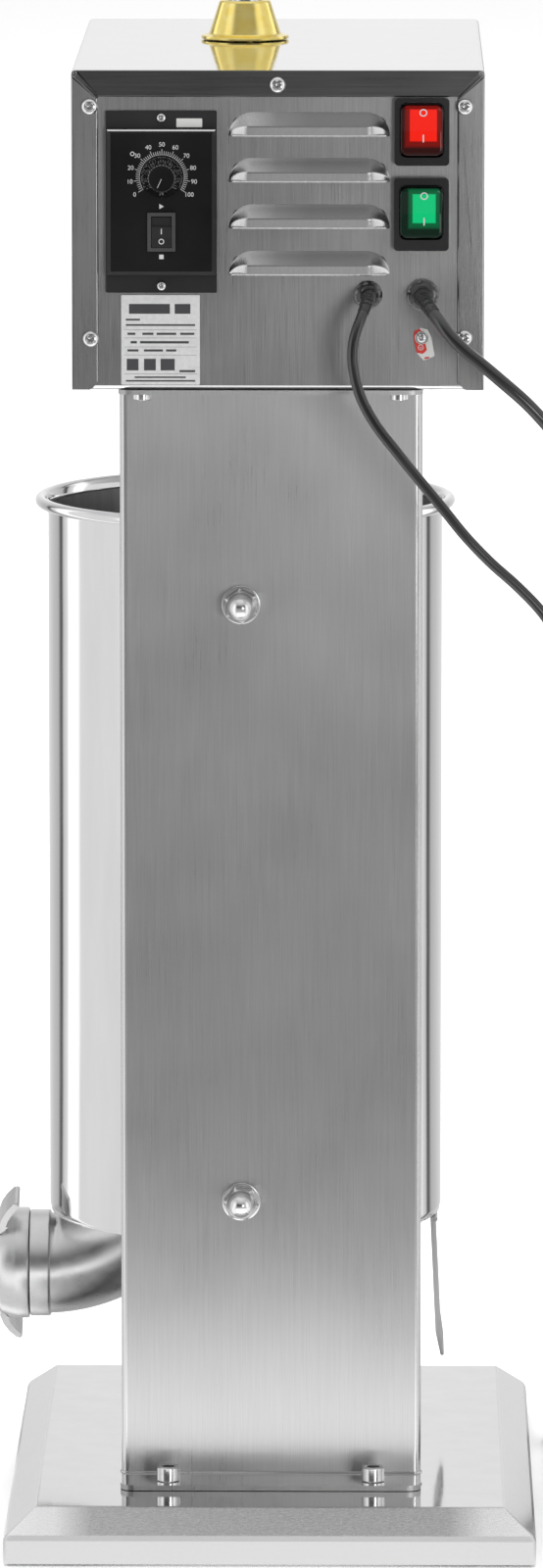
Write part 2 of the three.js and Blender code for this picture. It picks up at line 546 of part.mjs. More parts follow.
// ---- Barrel with its spout, leg and hooks ----
class SpoutBend extends THREE.Curve {
  // From left of the outlet face, level to the bend, then up and round into the barrel.
  getPoint(t) {
    const straight = SPOUT.bendX - SPOUT.face + 20;
    const sweep = THREE.MathUtils.degToRad(68);
    const run = t * (straight + sweep * SPOUT.bendRadius);
    if (run < straight) return new THREE.Vector3(SPOUT.face - 20 + run, 0, SPOUT.z);
    const angle = (run - straight) / SPOUT.bendRadius;
    return new THREE.Vector3(
      SPOUT.bendX + SPOUT.bendRadius * Math.sin(angle), 0,
      SPOUT.z + SPOUT.bendRadius * (1 - Math.cos(angle)));
  }
}

function sweptPipe(radius, segments, steps) {
  const section = new THREE.Shape();
  section.absarc(0, 0, radius, 0, 2 * Math.PI);
  const settings = { steps, curveSegments: segments, extrudePath: new SpoutBend(), bevelEnabled: false };
  return solidOf(new THREE.ExtrudeGeometry(section, settings));
}

function makeBarrel() {
  const { bottom, rim, inner, outer, bead, beadRadius, floor } = BARREL;
  const barrel = assembly(AXIS.x, AXIS.y, bottom);
  const height = rim - bottom;
  const beadArc = [];
  const beadSteps = 4;
  for (let step = 0; step <= beadSteps; step++) {
    const angle = THREE.MathUtils.degToRad(-110 + (step * 230) / beadSteps);
    beadArc.push([beadRadius + bead * Math.cos(angle), height + bead * Math.sin(angle)]);
  }
  const shell = turned([
    [0, 0], [outer - 4, 0], [outer - 1.2, 1.2], [outer, 4], [outer, height - 6], ...beadArc,
    [inner, height - 1.5], [inner, 5], [inner - 4, floor], [0, floor],
  ], 48);
  const bore = sweptPipe(SPOUT.inner, 10, 8).translate([-AXIS.x, 0, -bottom]);
  const floorBand = boxed([-outer, outer], [-60, 60], [-1, floor + 1]);
  piece("barrel", cut(shell, bore.intersect(floorBand)), "polished", barrel);

  const below = boxed([-200, 60], [-80, 80], [0, bottom - GAP]);
  const trimLeft = boxed([-260, SPOUT.shoulder], [-80, 80], [0, 300]);
  const pipe = cut(sweptPipe(SPOUT.outer, 10, 8), trimLeft);
  const collar = turnedLeft([
    [SPOUT.inner - 1, 127.5], [30.5, 127.5], [30.5, -SPOUT.shoulder], [28, -SPOUT.shoulder],
    [28, -SPOUT.face], [SPOUT.inner - 1, -SPOUT.face],
  ], 20).translate([0, 0, SPOUT.z]);
  const elbow = cut(joined(pipe, collar), sweptPipe(SPOUT.inner, 10, 8)).intersect(below);
  piece("outlet_elbow", elbow, "polished", barrel, [-AXIS.x, 0, -bottom]);

  const { x, tipX, width, thick, low } = LEG;
  const strip = outline([
    [x, bottom - GAP], [tipX - thick, low + 14], [tipX, low], [tipX + 2, low + 0.6],
    [tipX, low + 15], [x + thick, bottom - GAP],
  ]);
  piece("barrel_leg", alongY(strip, -width / 2, width / 2), "brushed", barrel, [-AXIS.x, 0, -bottom]);
  makeBarrelHooks(barrel);

  const { left, right, tipRadius, turnDegrees } = NUT;
  const shoulder = FLANGE_ROOM - SPOUT.face;
  const hub = turnedLeft([
    [28.5, -right], [31.75, -right], [31.75, 147], [30, 151.5], [28, -left], [24, -left],
    [23, shoulder + 2], [24, shoulder], [28.5, shoulder],
  ], 24);
  const blade = outline([
    [left, 25], [left + 1.5, 32], [left + 6, 40], [left + 11.5, tipRadius], [left + 14, tipRadius - 2],
    [left + 9.5, 39], [left + 6.5, 32], [left + 8, 27],
  ]);
  const wing = alongY(blade, -11, 11);
  const wings = [0, 180].map((side) => wing.rotate([side, 0, 0]));
  const nut = joined(hub, ...wings).rotate([turnDegrees, 0, 0]);
  piece("wing_nut", nut, "polished", barrel, [-AXIS.x, 0, SPOUT.z - bottom]);
}

// ---- Cords, their coils, the plug and the foot switch ----
// An eight-sided tube whose corners lie on the cord's own surface.
function cordTube(route, diameter, stepLength) {
  const path = new THREE.CatmullRomCurve3(route.map((point) => new THREE.Vector3(...point)), false, "centripetal");
  const section = regular(8, diameter * Math.cos(Math.PI / 8));
  const steps = Math.round(path.getLength() / stepLength);
  return solidOf(new THREE.ExtrudeGeometry(section, { steps, extrudePath: path, bevelEnabled: false }));
}

function makeCords() {
  piece("mains_cord", cordTube(MAINS_ROUTE, CORD_MAINS.diameter, 21), "cord");
  piece("pedal_cord", cordTube(PEDAL_ROUTE, CORD_PEDAL.diameter, 17.5), "cord");
  const coil = ({ inner, outer, high }) => ring(inner, outer, 0, high, 28);
  piece("mains_coil", coil(MAINS_COIL), "cord", stuffer, [MAINS_COIL.x, MAINS_COIL.y, 0]);
  piece("pedal_coil", coil(PEDAL_COIL), "cord", stuffer, [PEDAL_COIL.x, PEDAL_COIL.y, 0]);

  const { x, y, body, length } = MAINS_PLUG;
  const shell = turned([
    [0, 0], [4.5, 0], [6.5, 22], [12, 30], [body, 38], [body, length - 18], [body - 1.5, length - 17],
    [0, length - 17],
  ], 16);
  const pin = disc(2.4, length - 18, length, 10);
  const plug = joined(shell, pin.translate([0, 9.5, 0]), pin.translate([0, -9.5, 0])).rotate([0, 90, 0]);
  piece("mains_plug", plug, "blackPlastic", stuffer, [x, y, body]);
}

function makeFootSwitch() {
  const { left, right, rear, front, high, cordX, cordZ } = PEDAL;
  const shell = alongX(outline([
    [rear + 18, 0], [front, 0], [front, 5], [rear + 40, 8], [rear + 34, high - 6], [rear + 18, high - 6],
  ]), left, right);
  const boot = turnedOut([[0, 0], [6, 0], [4, 17], [0, 17]], 16)
    .translate([cordX, rear + 18.5, cordZ]);
  piece("pedal_base", joined(shell, boot), "blackPlastic");
  const treadle = outline([
    [rear + 34.5, high - 5], [rear + 36, high - 1], [front - 2, 19], [front, 16], [front - 2, 13.5],
    [rear + 41, 17],
  ]);
  piece("pedal_treadle", alongX(treadle, left + 3, right - 3), "blackPlastic");
}

makeBase();
makeColumn();
makeHangers();
makeHead();
makeRearPanel();
makeControls();
makeDrive();
makeRam();
makeBarrel();
makeCords();
makeFootSwitch();

export default stuffer;
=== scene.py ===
"""The looks of an electric sausage stuffer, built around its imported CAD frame. +Z is up, -Y the control side.

Shapes are laid out in millimetres and become metres when they become meshes.
"""
import math
import random

import bmesh
import bpy
from mathutils import Matrix, Vector
from mathutils.geometry import tessellate_polygon


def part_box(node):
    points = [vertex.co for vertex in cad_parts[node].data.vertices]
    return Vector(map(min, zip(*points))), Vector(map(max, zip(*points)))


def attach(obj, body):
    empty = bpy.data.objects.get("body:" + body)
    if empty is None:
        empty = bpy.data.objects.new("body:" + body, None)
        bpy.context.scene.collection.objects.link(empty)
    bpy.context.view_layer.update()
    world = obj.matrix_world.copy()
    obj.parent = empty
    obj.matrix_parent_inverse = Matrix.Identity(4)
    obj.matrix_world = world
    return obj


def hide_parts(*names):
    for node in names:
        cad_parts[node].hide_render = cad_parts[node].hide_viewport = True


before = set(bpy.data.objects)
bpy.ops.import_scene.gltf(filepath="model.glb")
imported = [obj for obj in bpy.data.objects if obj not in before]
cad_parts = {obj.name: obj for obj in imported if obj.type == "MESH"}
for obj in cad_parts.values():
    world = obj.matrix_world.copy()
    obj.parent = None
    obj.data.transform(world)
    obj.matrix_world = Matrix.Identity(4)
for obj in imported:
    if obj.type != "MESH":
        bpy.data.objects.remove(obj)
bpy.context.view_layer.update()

MM = 0.001  # shapes are laid out in millimetres; box() and as_mesh() convert
RNG = random.Random(7)

# Matrices that turn a shape made about +Z to point another way
OUT = Matrix.Rotation(math.radians(90), 4, "X")  # towards -Y, out of the control side
LEFT = Matrix.Rotation(math.radians(-90), 4, "Y")  # towards -X, along the outlet
DOWN = Matrix.Rotation(math.radians(180), 4, "X")
# An outline in Y and Z, raised along +X
ACROSS = Matrix(((0, 0, 1, 0), (1, 0, 0, 0), (0, 1, 0, 0), (0, 0, 0, 1)))


# ---- Where things are ----
def box(node):
    """A node's lowest and highest corners at rest, in millimetres."""
    low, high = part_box(node)
    return low / MM, high / MM


def middle(node):
    low, high = box(node)
    return (low + high) / 2


def place(x, y, z, turn=Matrix.Identity(4)):
    return Matrix.Translation((x, y, z)) @ turn


def rectangle(low, high):
    return [(low[0], low[1]), (high[0], low[1]), (high[0], high[1]), (low[0], high[1])]


def about(at, half_x, half_z):
    """A rectangle in X and Z round a point."""
    return rectangle((at.x - half_x, at.z - half_z), (at.x + half_x, at.z + half_z))


# ---- Camera ----
def make_camera():
    data = bpy.data.cameras.new("camera")
    data.lens = 243
    data.clip_end = 60
    camera = bpy.data.objects.new("camera", data)
    camera.location = (0.0578, -5.879, 1.281)
    camera.rotation_euler = (math.radians(81.5), 0, math.radians(0.573))
    bpy.context.scene.collection.objects.link(camera)
    bpy.context.scene.camera = camera


# ---- Node helpers ----
NOISE_LOW, NOISE_HIGH = 0.3, 0.7  # most of a noise texture's values lie between these


def rgba(colour):
    """A grey level or a colour, as the four numbers that a socket takes."""
    return (*colour, 1) if hasattr(colour, "__len__") else (colour, colour, colour, 1)


class Nodes:
    """A material's or world's node tree, with short ways to add to it."""

    def __init__(self, tree):
        self.tree = tree
        tree.nodes.clear()

    def add(self, kind, **settings):
        node = self.tree.nodes.new(kind)
        for name, value in settings.items():
            setattr(node, name, value)
        return node

    def link(self, source, target):
        self.tree.links.new(source, target)

    def put(self, socket, value):
        if isinstance(value, bpy.types.NodeSocket):
            self.link(value, socket)
        else:
            socket.default_value = value

    def math(self, operation, a, b=0.0):
        node = self.add("ShaderNodeMath", operation=operation)
        self.put(node.inputs[0], a)
        self.put(node.inputs[1], b)
        return node.outputs[0]

    def place(self, scale=(1, 1, 1)):
        coordinates = self.add("ShaderNodeTexCoord")
        mapping = self.add("ShaderNodeMapping")
        mapping.inputs["Scale"].default_value = scale
        self.link(coordinates.outputs["Object"], mapping.inputs["Vector"])
        return mapping.outputs[0]

    def parts(self, vector=None):
        """The X, Y and Z parts of a vector, or of the object's own coordinates."""
        split = self.add("ShaderNodeSeparateXYZ")
        if vector is None:
            vector = self.add("ShaderNodeTexCoord").outputs["Object"]
        self.link(vector, split.inputs[0])
        return split.outputs

    def noise(self, scale, detail=3.0, stretch=(1, 1, 1), rough=0.5):
        node = self.add("ShaderNodeTexNoise")
        self.link(self.place(stretch), node.inputs["Vector"])
        node.inputs["Scale"].default_value = scale
        node.inputs["Detail"].default_value = detail
        node.inputs["Roughness"].default_value = rough
        return node.outputs["Fac"]

    def ramp(self, factor, stops):
        node = self.add("ShaderNodeValToRGB")
        elements = node.color_ramp.elements
        while len(elements) < len(stops):
            elements.new(0.5)
        for element, (at, colour) in zip(elements, stops):
            element.position = at
            element.color = rgba(colour)
        self.link(factor, node.inputs[0])
        return node.outputs[0]

    def shades(self, noise, dark, light, top=NOISE_HIGH):
        """A colour that goes from dark to light over the usual range of a noise."""
        return self.ramp(noise, [(NOISE_LOW, dark), (top, light)])

    def span(self, factor, low, high):
        node = self.add("ShaderNodeMapRange")
        self.link(factor, node.inputs["Value"])
        node.inputs["From Min"].default_value = NOISE_LOW
        node.inputs["From Max"].default_value = NOISE_HIGH
        node.inputs["To Min"].default_value = low
        node.inputs["To Max"].default_value = high
        return node.outputs[0]

    def bump(self, height, distance, under=None):
        node = self.add("ShaderNodeBump")
        node.inputs["Strength"].default_value = 1.0
        node.inputs["Distance"].default_value = distance
        self.link(height, node.inputs["Height"])
        if under is not None:
            self.link(under, node.inputs["Normal"])
        return node.outputs[0]


def material(name):
    made = bpy.data.materials.new(name)
    made.use_nodes = True
    nodes = Nodes(made.node_tree)
    shader = nodes.add("ShaderNodeBsdfPrincipled")
    output = nodes.add("ShaderNodeOutputMaterial")
    nodes.link(shader.outputs[0], output.inputs["Surface"])
    return made, nodes, shader.inputs


def mixed(nodes, factor, first, second):
    node = nodes.add("ShaderNodeMix", data_type="RGBA")
    for socket, value in zip((node.inputs[0], node.inputs[6], node.inputs[7]), (factor, first, second)):
        nodes.put(socket, rgba(value) if isinstance(value, tuple) else value)
    return node.outputs[2]


def surface(nodes, socket, colour, tone, rough, relief, depth, metallic=1.0):
    """Sets what every look has: its colour, a roughness that follows tone, a relief and its metalness."""
    nodes.link(colour, socket["Base Color"])
    nodes.link(nodes.span(tone, *rough), socket["Roughness"])
    nodes.link(nodes.bump(relief, depth), socket["Normal"])
    socket["Metallic"].default_value = metallic


# ---- Materials ----
FINE, LONG = 2600.0, 26.0  # how often brushing repeats across its lines, and along them
UPRIGHT, LEVEL = (FINE, FINE, LONG), (LONG, FINE, FINE)
WORN_TOP = 0.75  # a noise value over which plastic is at its most worn


def steel(name, grain, dark, light, rough, scratch=0.00003, drawn=0.0):
    """Stainless steel. grain stretches the brushing: a small number along an axis draws it out that way.

    drawn spreads reflections level, as upright brushing does.
    """
    made, nodes, socket = material(name)
    lines = nodes.noise(1.0, 4.0, grain, 0.65)
    cloud = nodes.noise(14.0, 2.0)
    tone = nodes.math("ADD", nodes.math("MULTIPLY", lines, 0.6), nodes.math("MULTIPLY", cloud, 0.4))
    surface(nodes, socket, nodes.shades(tone, dark, light), tone, rough, lines, scratch)
    if drawn:
        socket["Anisotropic"].default_value = drawn
        level = nodes.add("ShaderNodeTangent", direction_type="RADIAL", axis="Z")
        nodes.link(level.outputs[0], socket["Tangent"])
    return made


def painted_shade_steel(name, span):
    """Pressed steel with a painted shade on its upper slope: a darker grey that stands for a dark reflection,
    fading out over the last stretch at both ends of its span.
    """
    made, nodes, socket = material(name)
    low, high = span
    painted_shade_grey = (0.22, 0.22, 0.22)
    along = nodes.math("DIVIDE", nodes.math("SUBTRACT", nodes.parts()[0], low), high - low)
    painted_shade_mask = nodes.ramp(along, [(0.08, 0.0), (0.3, 0.8), (0.5, 1.0), (0.93, 1.0), (1.0, 0.0)])
    lines = nodes.noise(1.0, 4.0, (FINE, FINE, LONG), 0.65)
    colour = mixed(nodes, painted_shade_mask, nodes.shades(lines, 0.44, 0.58), painted_shade_grey)
    surface(nodes, socket, colour, lines, (0.18, 0.28), lines, 0.00003)
    return made


def mitred(name, half, fade):
    """A bevel speckled by rolling in its middle, with a painted highlight: near-white colour towards its
    mitres, half from the centre.
    """
    made, nodes, socket = material(name)
    highlight_white = (0.97, 0.97, 0.97)
    offset = nodes.math("SUBTRACT", nodes.math("ABSOLUTE", nodes.parts()[0]), half - fade)
    painted_highlight = nodes.ramp(nodes.math("DIVIDE", offset, fade), [(0.0, 0.0), (0.4, 0.85), (1.0, 1.0)])
    speckle = nodes.noise(1.0, 4.0, (420.0, 1500.0, 1500.0), 0.65)
    colour = mixed(nodes, painted_highlight, nodes.shades(speckle, 0.42, 0.6), highlight_white)
    surface(nodes, socket, colour, speckle, (0.2, 0.3), speckle, 0.00006)
    return made


def polished(name, dark=0.8, light=0.86, rough=(0.05, 0.11)):
    """Mirror-polished stainless with faint wiping marks and very shallow waves."""
    made, nodes, socket = material(name)
    wipe = nodes.noise(60.0, 3.0, (1, 1, 0.15))
    wave = nodes.noise(16.0, 1.0)
    surface(nodes, socket, nodes.shades(wipe, dark, light), wipe, rough, wave, 0.00012)
    return made


def metal(name, dark, light, rough, scale=220.0, depth=0.00002, metallic=1.0):
    """A metal, paint or print with one even grain."""
    made, nodes, socket = material(name)
    fine = nodes.noise(scale, 4.0)
    surface(nodes, socket, nodes.shades(fine, dark, light), fine, rough, fine, depth, metallic)
    return made


def moulded(name, colour, rough, grain=900.0, depth=0.00004, coat=0.0, gloss=0.5):
    """Moulded plastic or rubber: a spark-eroded grain, a slow change of tone and slightly worn high spots."""
    made, nodes, socket = material(name)
    fine = nodes.noise(grain, 2.0)
    slow = nodes.noise(18.0, 3.0)
    worn = tuple(min(1.0, part * 1.35 + 0.006) for part in colour)
    surface(nodes, socket, nodes.shades(slow, colour, worn, WORN_TOP), slow, rough, fine, depth, 0.0)
    socket["Specular IOR Level"].default_value = gloss
    socket["Coat Weight"].default_value = coat
    socket["Coat Roughness"].default_value = 0.08
    return made


def lens_plastic(name, edge, window, size, centre):
    """A clear rocker over a lamp. size is the lit window's half width and height. It is darker round that.

    size and centre are in millimetres.
    """
    made, nodes, socket = material(name)
    parts = nodes.parts()
    reach = []
    for axis, half, at in ((0, size[0], centre.x), (2, size[1], centre.z)):
        offset = nodes.math("ABSOLUTE", nodes.math("SUBTRACT", parts[axis], at * MM))
        reach.append(nodes.math("DIVIDE", offset, 2 * half * MM))
    inside = nodes.math("MAXIMUM", *reach)
    between = tuple(0.25 * part for part in window)
    shade = nodes.ramp(inside, [(0.475, window), (0.52, between), (0.62, between), (0.72, edge)])
    fine = nodes.noise(300.0, 2.0)
    surface(nodes, socket, shade, fine, (0.08, 0.16), fine, 0.00001, 0.0)
    nodes.link(nodes.ramp(inside, [(0.475, window), (0.51, (0, 0, 0))]), socket["Emission Color"])
    socket["Emission Strength"].default_value = 0.3
    socket["Specular IOR Level"].default_value = 0.2
    socket["Coat Weight"].default_value = 0.25
    socket["Coat Roughness"].default_value = 0.04
    return made


def jacket(name):
    """A cable's jacket: black, half gloss, with the faint lay of the cores along it."""
    made, nodes, socket = material(name)
    fine = nodes.noise(500.0, 3.0)
    slow = nodes.noise(25.0, 2.0)
    nodes.link(nodes.shades(slow, 0.006, 0.012, WORN_TOP), socket["Base Color"])
    nodes.link(nodes.span(slow, 0.24, 0.34), socket["Roughness"])
    nodes.link(nodes.bump(fine, 0.00003, nodes.bump(slow, 0.0004)), socket["Normal"])
    socket["Specular IOR Level"].default_value = 0.5
    socket["Coat Weight"].default_value = 1.0
    socket["Coat Roughness"].default_value = 0.03
    return made


def make_materials():
    """Every look by its name."""
    louvre_span = (-0.0226, 0.0647)  # the louvres' ends in X
    bevel_half, mitre_fade = 0.148, 0.05
    made = [
        steel("brushed_z", UPRIGHT, 0.43, 0.55, (0.26, 0.36), drawn=0.85),
        steel("cover_steel", UPRIGHT, 0.32, 0.41, (0.24, 0.34), drawn=0.5),
        steel("panel_steel", UPRIGHT, 0.27, 0.45, (0.26, 0.36), 0.00005, 0.5),
        # Lighter and smoother than the panel's steel: partly a pressed finish, partly a painted highlight where
        # it lies on the louvres and the column's front bends
        steel("pressed", UPRIGHT, 0.56, 0.7, (0.16, 0.24)),
        painted_shade_steel("painted_shade_steel", louvre_span),
        steel("brushed_x", LEVEL, 0.50, 0.62, (0.28, 0.4)),
        # A painted shade: a dark copy of the brushed steel for the dark reflection on the cover's top strip
        steel("brushed_painted_shade", LEVEL, 0.11, 0.18, (0.24, 0.36)),
        steel("satin", (300.0, 300.0, 900.0), 0.45, 0.5, (0.2, 0.28)),
        # A painted highlight: the tray's side bevels get a near-white copy of the steel
        steel("bevel_side_painted_highlight", (900.0, 60.0, 900.0), 0.86, 0.94, (0.26, 0.34)),
        mitred("mitred", bevel_half, mitre_fade),
        steel("barrel_inside", (300.0, 300.0, 12.0), 0.42, 0.55, (0.3, 0.42)),
        polished("polished"),
        polished("top_sheet", 0.72, 0.75, (0.04, 0.08)),
        polished("base_sheet", 0.66, 0.7, (0.06, 0.1)),
        metal("cast", 0.7, 0.78, (0.27, 0.34), 150.0, 0.00002),
        metal("weld", 0.8, 0.9, (0.15, 0.3), 320.0, 0.0002),
        metal("zinc", 0.74, 0.84, (0.12, 0.22)),
        metal("thread", 0.6, 0.72, (0.16, 0.3)),
        metal("brass", (0.96, 0.74, 0.19), (1.0, 0.84, 0.32), (0.12, 0.22), 160.0),
        metal("bronze", (0.5, 0.33, 0.14), (0.62, 0.43, 0.2), (0.3, 0.45)),
        metal("cast_iron", 0.16, 0.24, (0.45, 0.6), 300.0, 0.0002),
        metal("motor_paint", (0.03, 0.035, 0.04), (0.05, 0.055, 0.06), (0.4, 0.55), 260.0, 0.0003, 0.0),
        moulded("black_plastic", (0.011, 0.011, 0.012), (0.22, 0.34), coat=0.3),
        moulded("black_matt", (0.009, 0.009, 0.010), (0.42, 0.55)),
        moulded("gloss_black", (0.006, 0.006, 0.007), (0.1, 0.16), 700.0, 0.00001, 0.6),
        moulded("black_sheen", (0.010, 0.010, 0.011), (0.34, 0.45), gloss=0.3),
        moulded("black_face", (0.004, 0.004, 0.0045), (0.5, 0.6), 700.0, 0.00002, gloss=0.12),
        # A painted highlight: bright metal colour on the black controller's upper chamfer
        metal("painted_highlight_edge", 0.8, 0.86, (0.2, 0.3), 300.0, 0.00001),
        moulded("gland", (0.014, 0.014, 0.015), (0.1, 0.18), 600.0, 0.00001, 1.0, 0.9),
        metal("knob", 0.3, 0.4, (0.1, 0.16), 260.0, 0.00001),
        moulded("rim_grey", (0.035, 0.035, 0.037), (0.3, 0.4), gloss=0.5),
        moulded("rubber", (0.018, 0.018, 0.019), (0.6, 0.75), 500.0, 0.0001),
        moulded("silicone", (0.72, 0.70, 0.65), (0.35, 0.5)),
        moulded("nylon", (0.8, 0.8, 0.78), (0.35, 0.48), 260.0, 0.00005),
        metal("label", 0.56, 0.63, (0.3, 0.4), 500.0, 0.00001, 0.25),
        moulded("ink", (0.03, 0.03, 0.033), (0.5, 0.6), 600.0, 0.00001),
        moulded("white_ink", (0.42, 0.42, 0.42), (0.4, 0.5), 600.0, 0.00001),
        moulded("red_tag", (0.4, 0.014, 0.008), (0.3, 0.4), 500.0, 0.00001),
        moulded("tag_white", (0.42, 0.42, 0.41), (0.35, 0.5), 500.0, 0.00001),
        jacket("jacket"),
    ]
    # Blender adds a number to a name that one of the CAD's materials already has
    return {look.name.partition(".")[0]: look for look in made}


# ---- Mesh helpers ----
def softened(points, radius, closed=True, steps=3):
    """An outline with its corners rounded. radius is one number, or one for each corner."""
    radii = radius if hasattr(radius, "__len__") else [radius] * len(points)
    made = []
    for index, point in enumerate(points):
        here = Vector(point)
        if radii[index] <= 0 or (not closed and index in (0, len(points) - 1)):
            made.append(tuple(here))
            continue
        back = Vector(points[index - 1]) - here
        ahead = Vector(points[(index + 1) % len(points)]) - here
        angle = back.angle(ahead)
        if angle > math.pi - 0.02:
            made.append(tuple(here))
            continue
        reach = min(radii[index] / math.tan(angle / 2), 0.45 * back.length, 0.45 * ahead.length)
        start, end = here + back.normalized() * reach, here + ahead.normalized() * reach
        for step in range(steps + 1):
            t = step / steps
            made.append(tuple(start * (1 - t) ** 2 + here * (2 * t * (1 - t)) + end * t * t))
    return made


def circle(radius, count=32, at=(0, 0)):
    turns = [2 * math.pi * step / count for step in range(count)]
    return [(at[0] + radius * math.cos(a), at[1] + radius * math.sin(a)) for a in turns]


def arc(start, end, count):
    """Angles in radians, evenly from start to end in degrees."""
    return [math.radians(start + (end - start) * step / (count - 1)) for step in range(count)]


def mark(bm, start, look):
    """Gives the faces added since start the look of this number."""
    bm.faces.ensure_lookup_table()
    for face in bm.faces[start:]:
        face.material_index = look


def bridge(bm, rings, closed=False):
    """Adds a band of faces between each ring of corners and the next."""
    pairs = list(zip(rings, rings[1:]))
    if closed:
        pairs.append((rings[-1], rings[0]))
    for first, second in pairs:
        for step in range(len(first)):
            after = (step + 1) % len(first)
            bm.faces.new((first[step], first[after], second[after], second[step]))


def add_lathe(bm, profile, segments=48, turn=Matrix.Identity(4)):
    """Adds a (radius, height) profile turned about Z. A radius may depend on the angle, as a hexagon's."""
    rings = []
    for radius, height in profile:
        if not callable(radius) and radius <= 0:
            rings.append([bm.verts.new(turn @ Vector((0, 0, height)))])
            continue
        ring = []
        for step in range(segments):
            angle = 2 * math.pi * step / segments
            reach = radius(angle) if callable(radius) else radius
            ring.append(bm.verts.new(turn @ Vector((reach * math.cos(angle), reach * math.sin(angle),
                                                    height))))
        rings.append(ring)
    pairs = list(zip(rings, rings[1:]))
    if len(rings[0]) > 1 and len(rings[-1]) > 1:
        pairs.append((rings[-1], rings[0]))
    for first, second in pairs:
        for step in range(segments):
            after = (step + 1) % segments
            loop = [first[step % len(first)], first[after % len(first)],
                    second[after % len(second)], second[step % len(second)]]
            unique = [v for i, v in enumerate(loop) if v not in loop[:i]]
            if len(unique) > 2:
                bm.faces.new(unique)


def add_block(bm, low, high, radius=0.0, segments=2, turn=Matrix.Identity(4)):
    """Adds a block with rounded edges."""
    low, high = Vector(low), Vector(high)
    centre, size = (low + high) / 2, high - low
    matrix = turn @ Matrix.Translation(centre) @ Matrix.Diagonal((*size, 1))
    made = bmesh.ops.create_cube(bm, size=1.0, matrix=matrix)
    if radius > 0:
        edges = list({edge for vertex in made["verts"] for edge in vertex.link_edges})
        bmesh.ops.bevel(bm, geom=edges, offset=radius, segments=segments, affect="EDGES", profile=0.5)


def add_prism(bm, outline, low, high, radius=0.0, turn=Matrix.Identity(4), segments=2):
    """Adds an outline in X and Y raised from low to high, with rounded rims."""
    bottom = [bm.verts.new((x, y, low)) for x, y in outline]
    top = [bm.verts.new((x, y, high)) for x, y in outline]
    count = len(outline)
    caps = [bm.faces.new(bottom[::-1]), bm.faces.new(top)]
    for step in range(count):
        after = (step + 1) % count
        bm.faces.new((bottom[step], bottom[after], top[after], top[step]))
    created = bottom + top
    if radius > 0:
        edges = list({edge for cap in caps for edge in cap.edges})
        done = bmesh.ops.bevel(bm, geom=edges, offset=radius, segments=segments, affect="EDGES", profile=0.5)
        faces = set(done["faces"])
        for face in list(faces):
            faces.update(f for edge in face.edges for f in edge.link_faces)
        created = list({v for face in faces for v in face.verts})
    bmesh.ops.transform(bm, matrix=turn, verts=created)


def add_tube(bm, path, radius, segments=12, closed=False):
    """Adds a round tube along a path. radius is one number, or one for each point."""
    radii = radius if hasattr(radius, "__len__") else [radius] * len(path)
    path = [Vector(point) for point in path]
    rings = []
    side = None
    for index, point in enumerate(path):
        before = path[index - 1] if index or closed else point
        after = path[(index + 1) % len(path)] if index < len(path) - 1 or closed else point
        along = (after - before).normalized()
        if side is None:
            side = along.orthogonal().normalized()
        side = (side - along * side.dot(along)).normalized()
        other = along.cross(side)
        rings.append([bm.verts.new(point + radii[index] * (side * x + other * y)) for x,
                      y in circle(1, segments)])
    bridge(bm, rings, closed)
    if not closed:
        bm.faces.new(rings[0][::-1])
        bm.faces.new(rings[-1])


def add_solid_sheet(bm, points, faces, thickness):
    """Adds a sheet from its outer surface, thickened away from its normals."""
    verts = [bm.verts.new(point) for point in points]
    made = [bm.faces.new([verts[index] for index in face]) for face in faces]
    bmesh.ops.recalc_face_normals(bm, faces=made)
    bmesh.ops.solidify(bm, geom=made, thickness=thickness)


def add_holed(bm, outline, holes, low, high, turn=Matrix.Identity(4)):
    """Adds an outline with holes through it, in X and Y, raised from low to high."""
    loops = [outline, *holes]
    fills = tessellate_polygon([[Vector((x, y, 0)) for x, y in loop] for loop in loops])
    points = [point for loop in loops for point in loop]
    bottom = [bm.verts.new(turn @ Vector((x, y, low))) for x, y in points]
    top = [bm.verts.new(turn @ Vector((x, y, high))) for x, y in points]
    for a, b, c in fills:
        bm.faces.new((bottom[c], bottom[b], bottom[a]))
        bm.faces.new((top[a], top[b], top[c]))
    start = 0
    for loop in loops:
        for step in range(len(loop)):
            a, b = start + step, start + (step + 1) % len(loop)
            bm.faces.new((bottom[a], bottom[b], top[b], top[a]))
        start += len(loop)


def edge_rounding(obj, width, segments=2, angle=35.0):
    """Rounds a piece's sharp edges, before its normals are weighted."""
    edge = obj.modifiers.new("edges", "BEVEL")
    edge.width, edge.segments, edge.limit_method = width * MM, segments, "ANGLE"
    edge.angle_limit = math.radians(angle)
    if "normals" in obj.modifiers:
        obj.modifiers.move(len(obj.modifiers) - 1, 0)


def paint(bm, rule):
    """Gives each face a look by number: rule(centre, normal) picks it."""
    bmesh.ops.recalc_face_normals(bm, faces=bm.faces[:])
    for face in bm.faces:
        face.normal_update()
        face.material_index = rule(face.calc_center_median(), face.normal)


def as_mesh(name, bm):
    """Turns a bmesh in millimetres into a mesh in metres."""
    bmesh.ops.recalc_face_normals(bm, faces=bm.faces[:])
    bm.transform(Matrix.Scale(MM, 4))
    mesh = bpy.data.meshes.new(name)
    bm.to_mesh(mesh)
    bm.free()
    return mesh


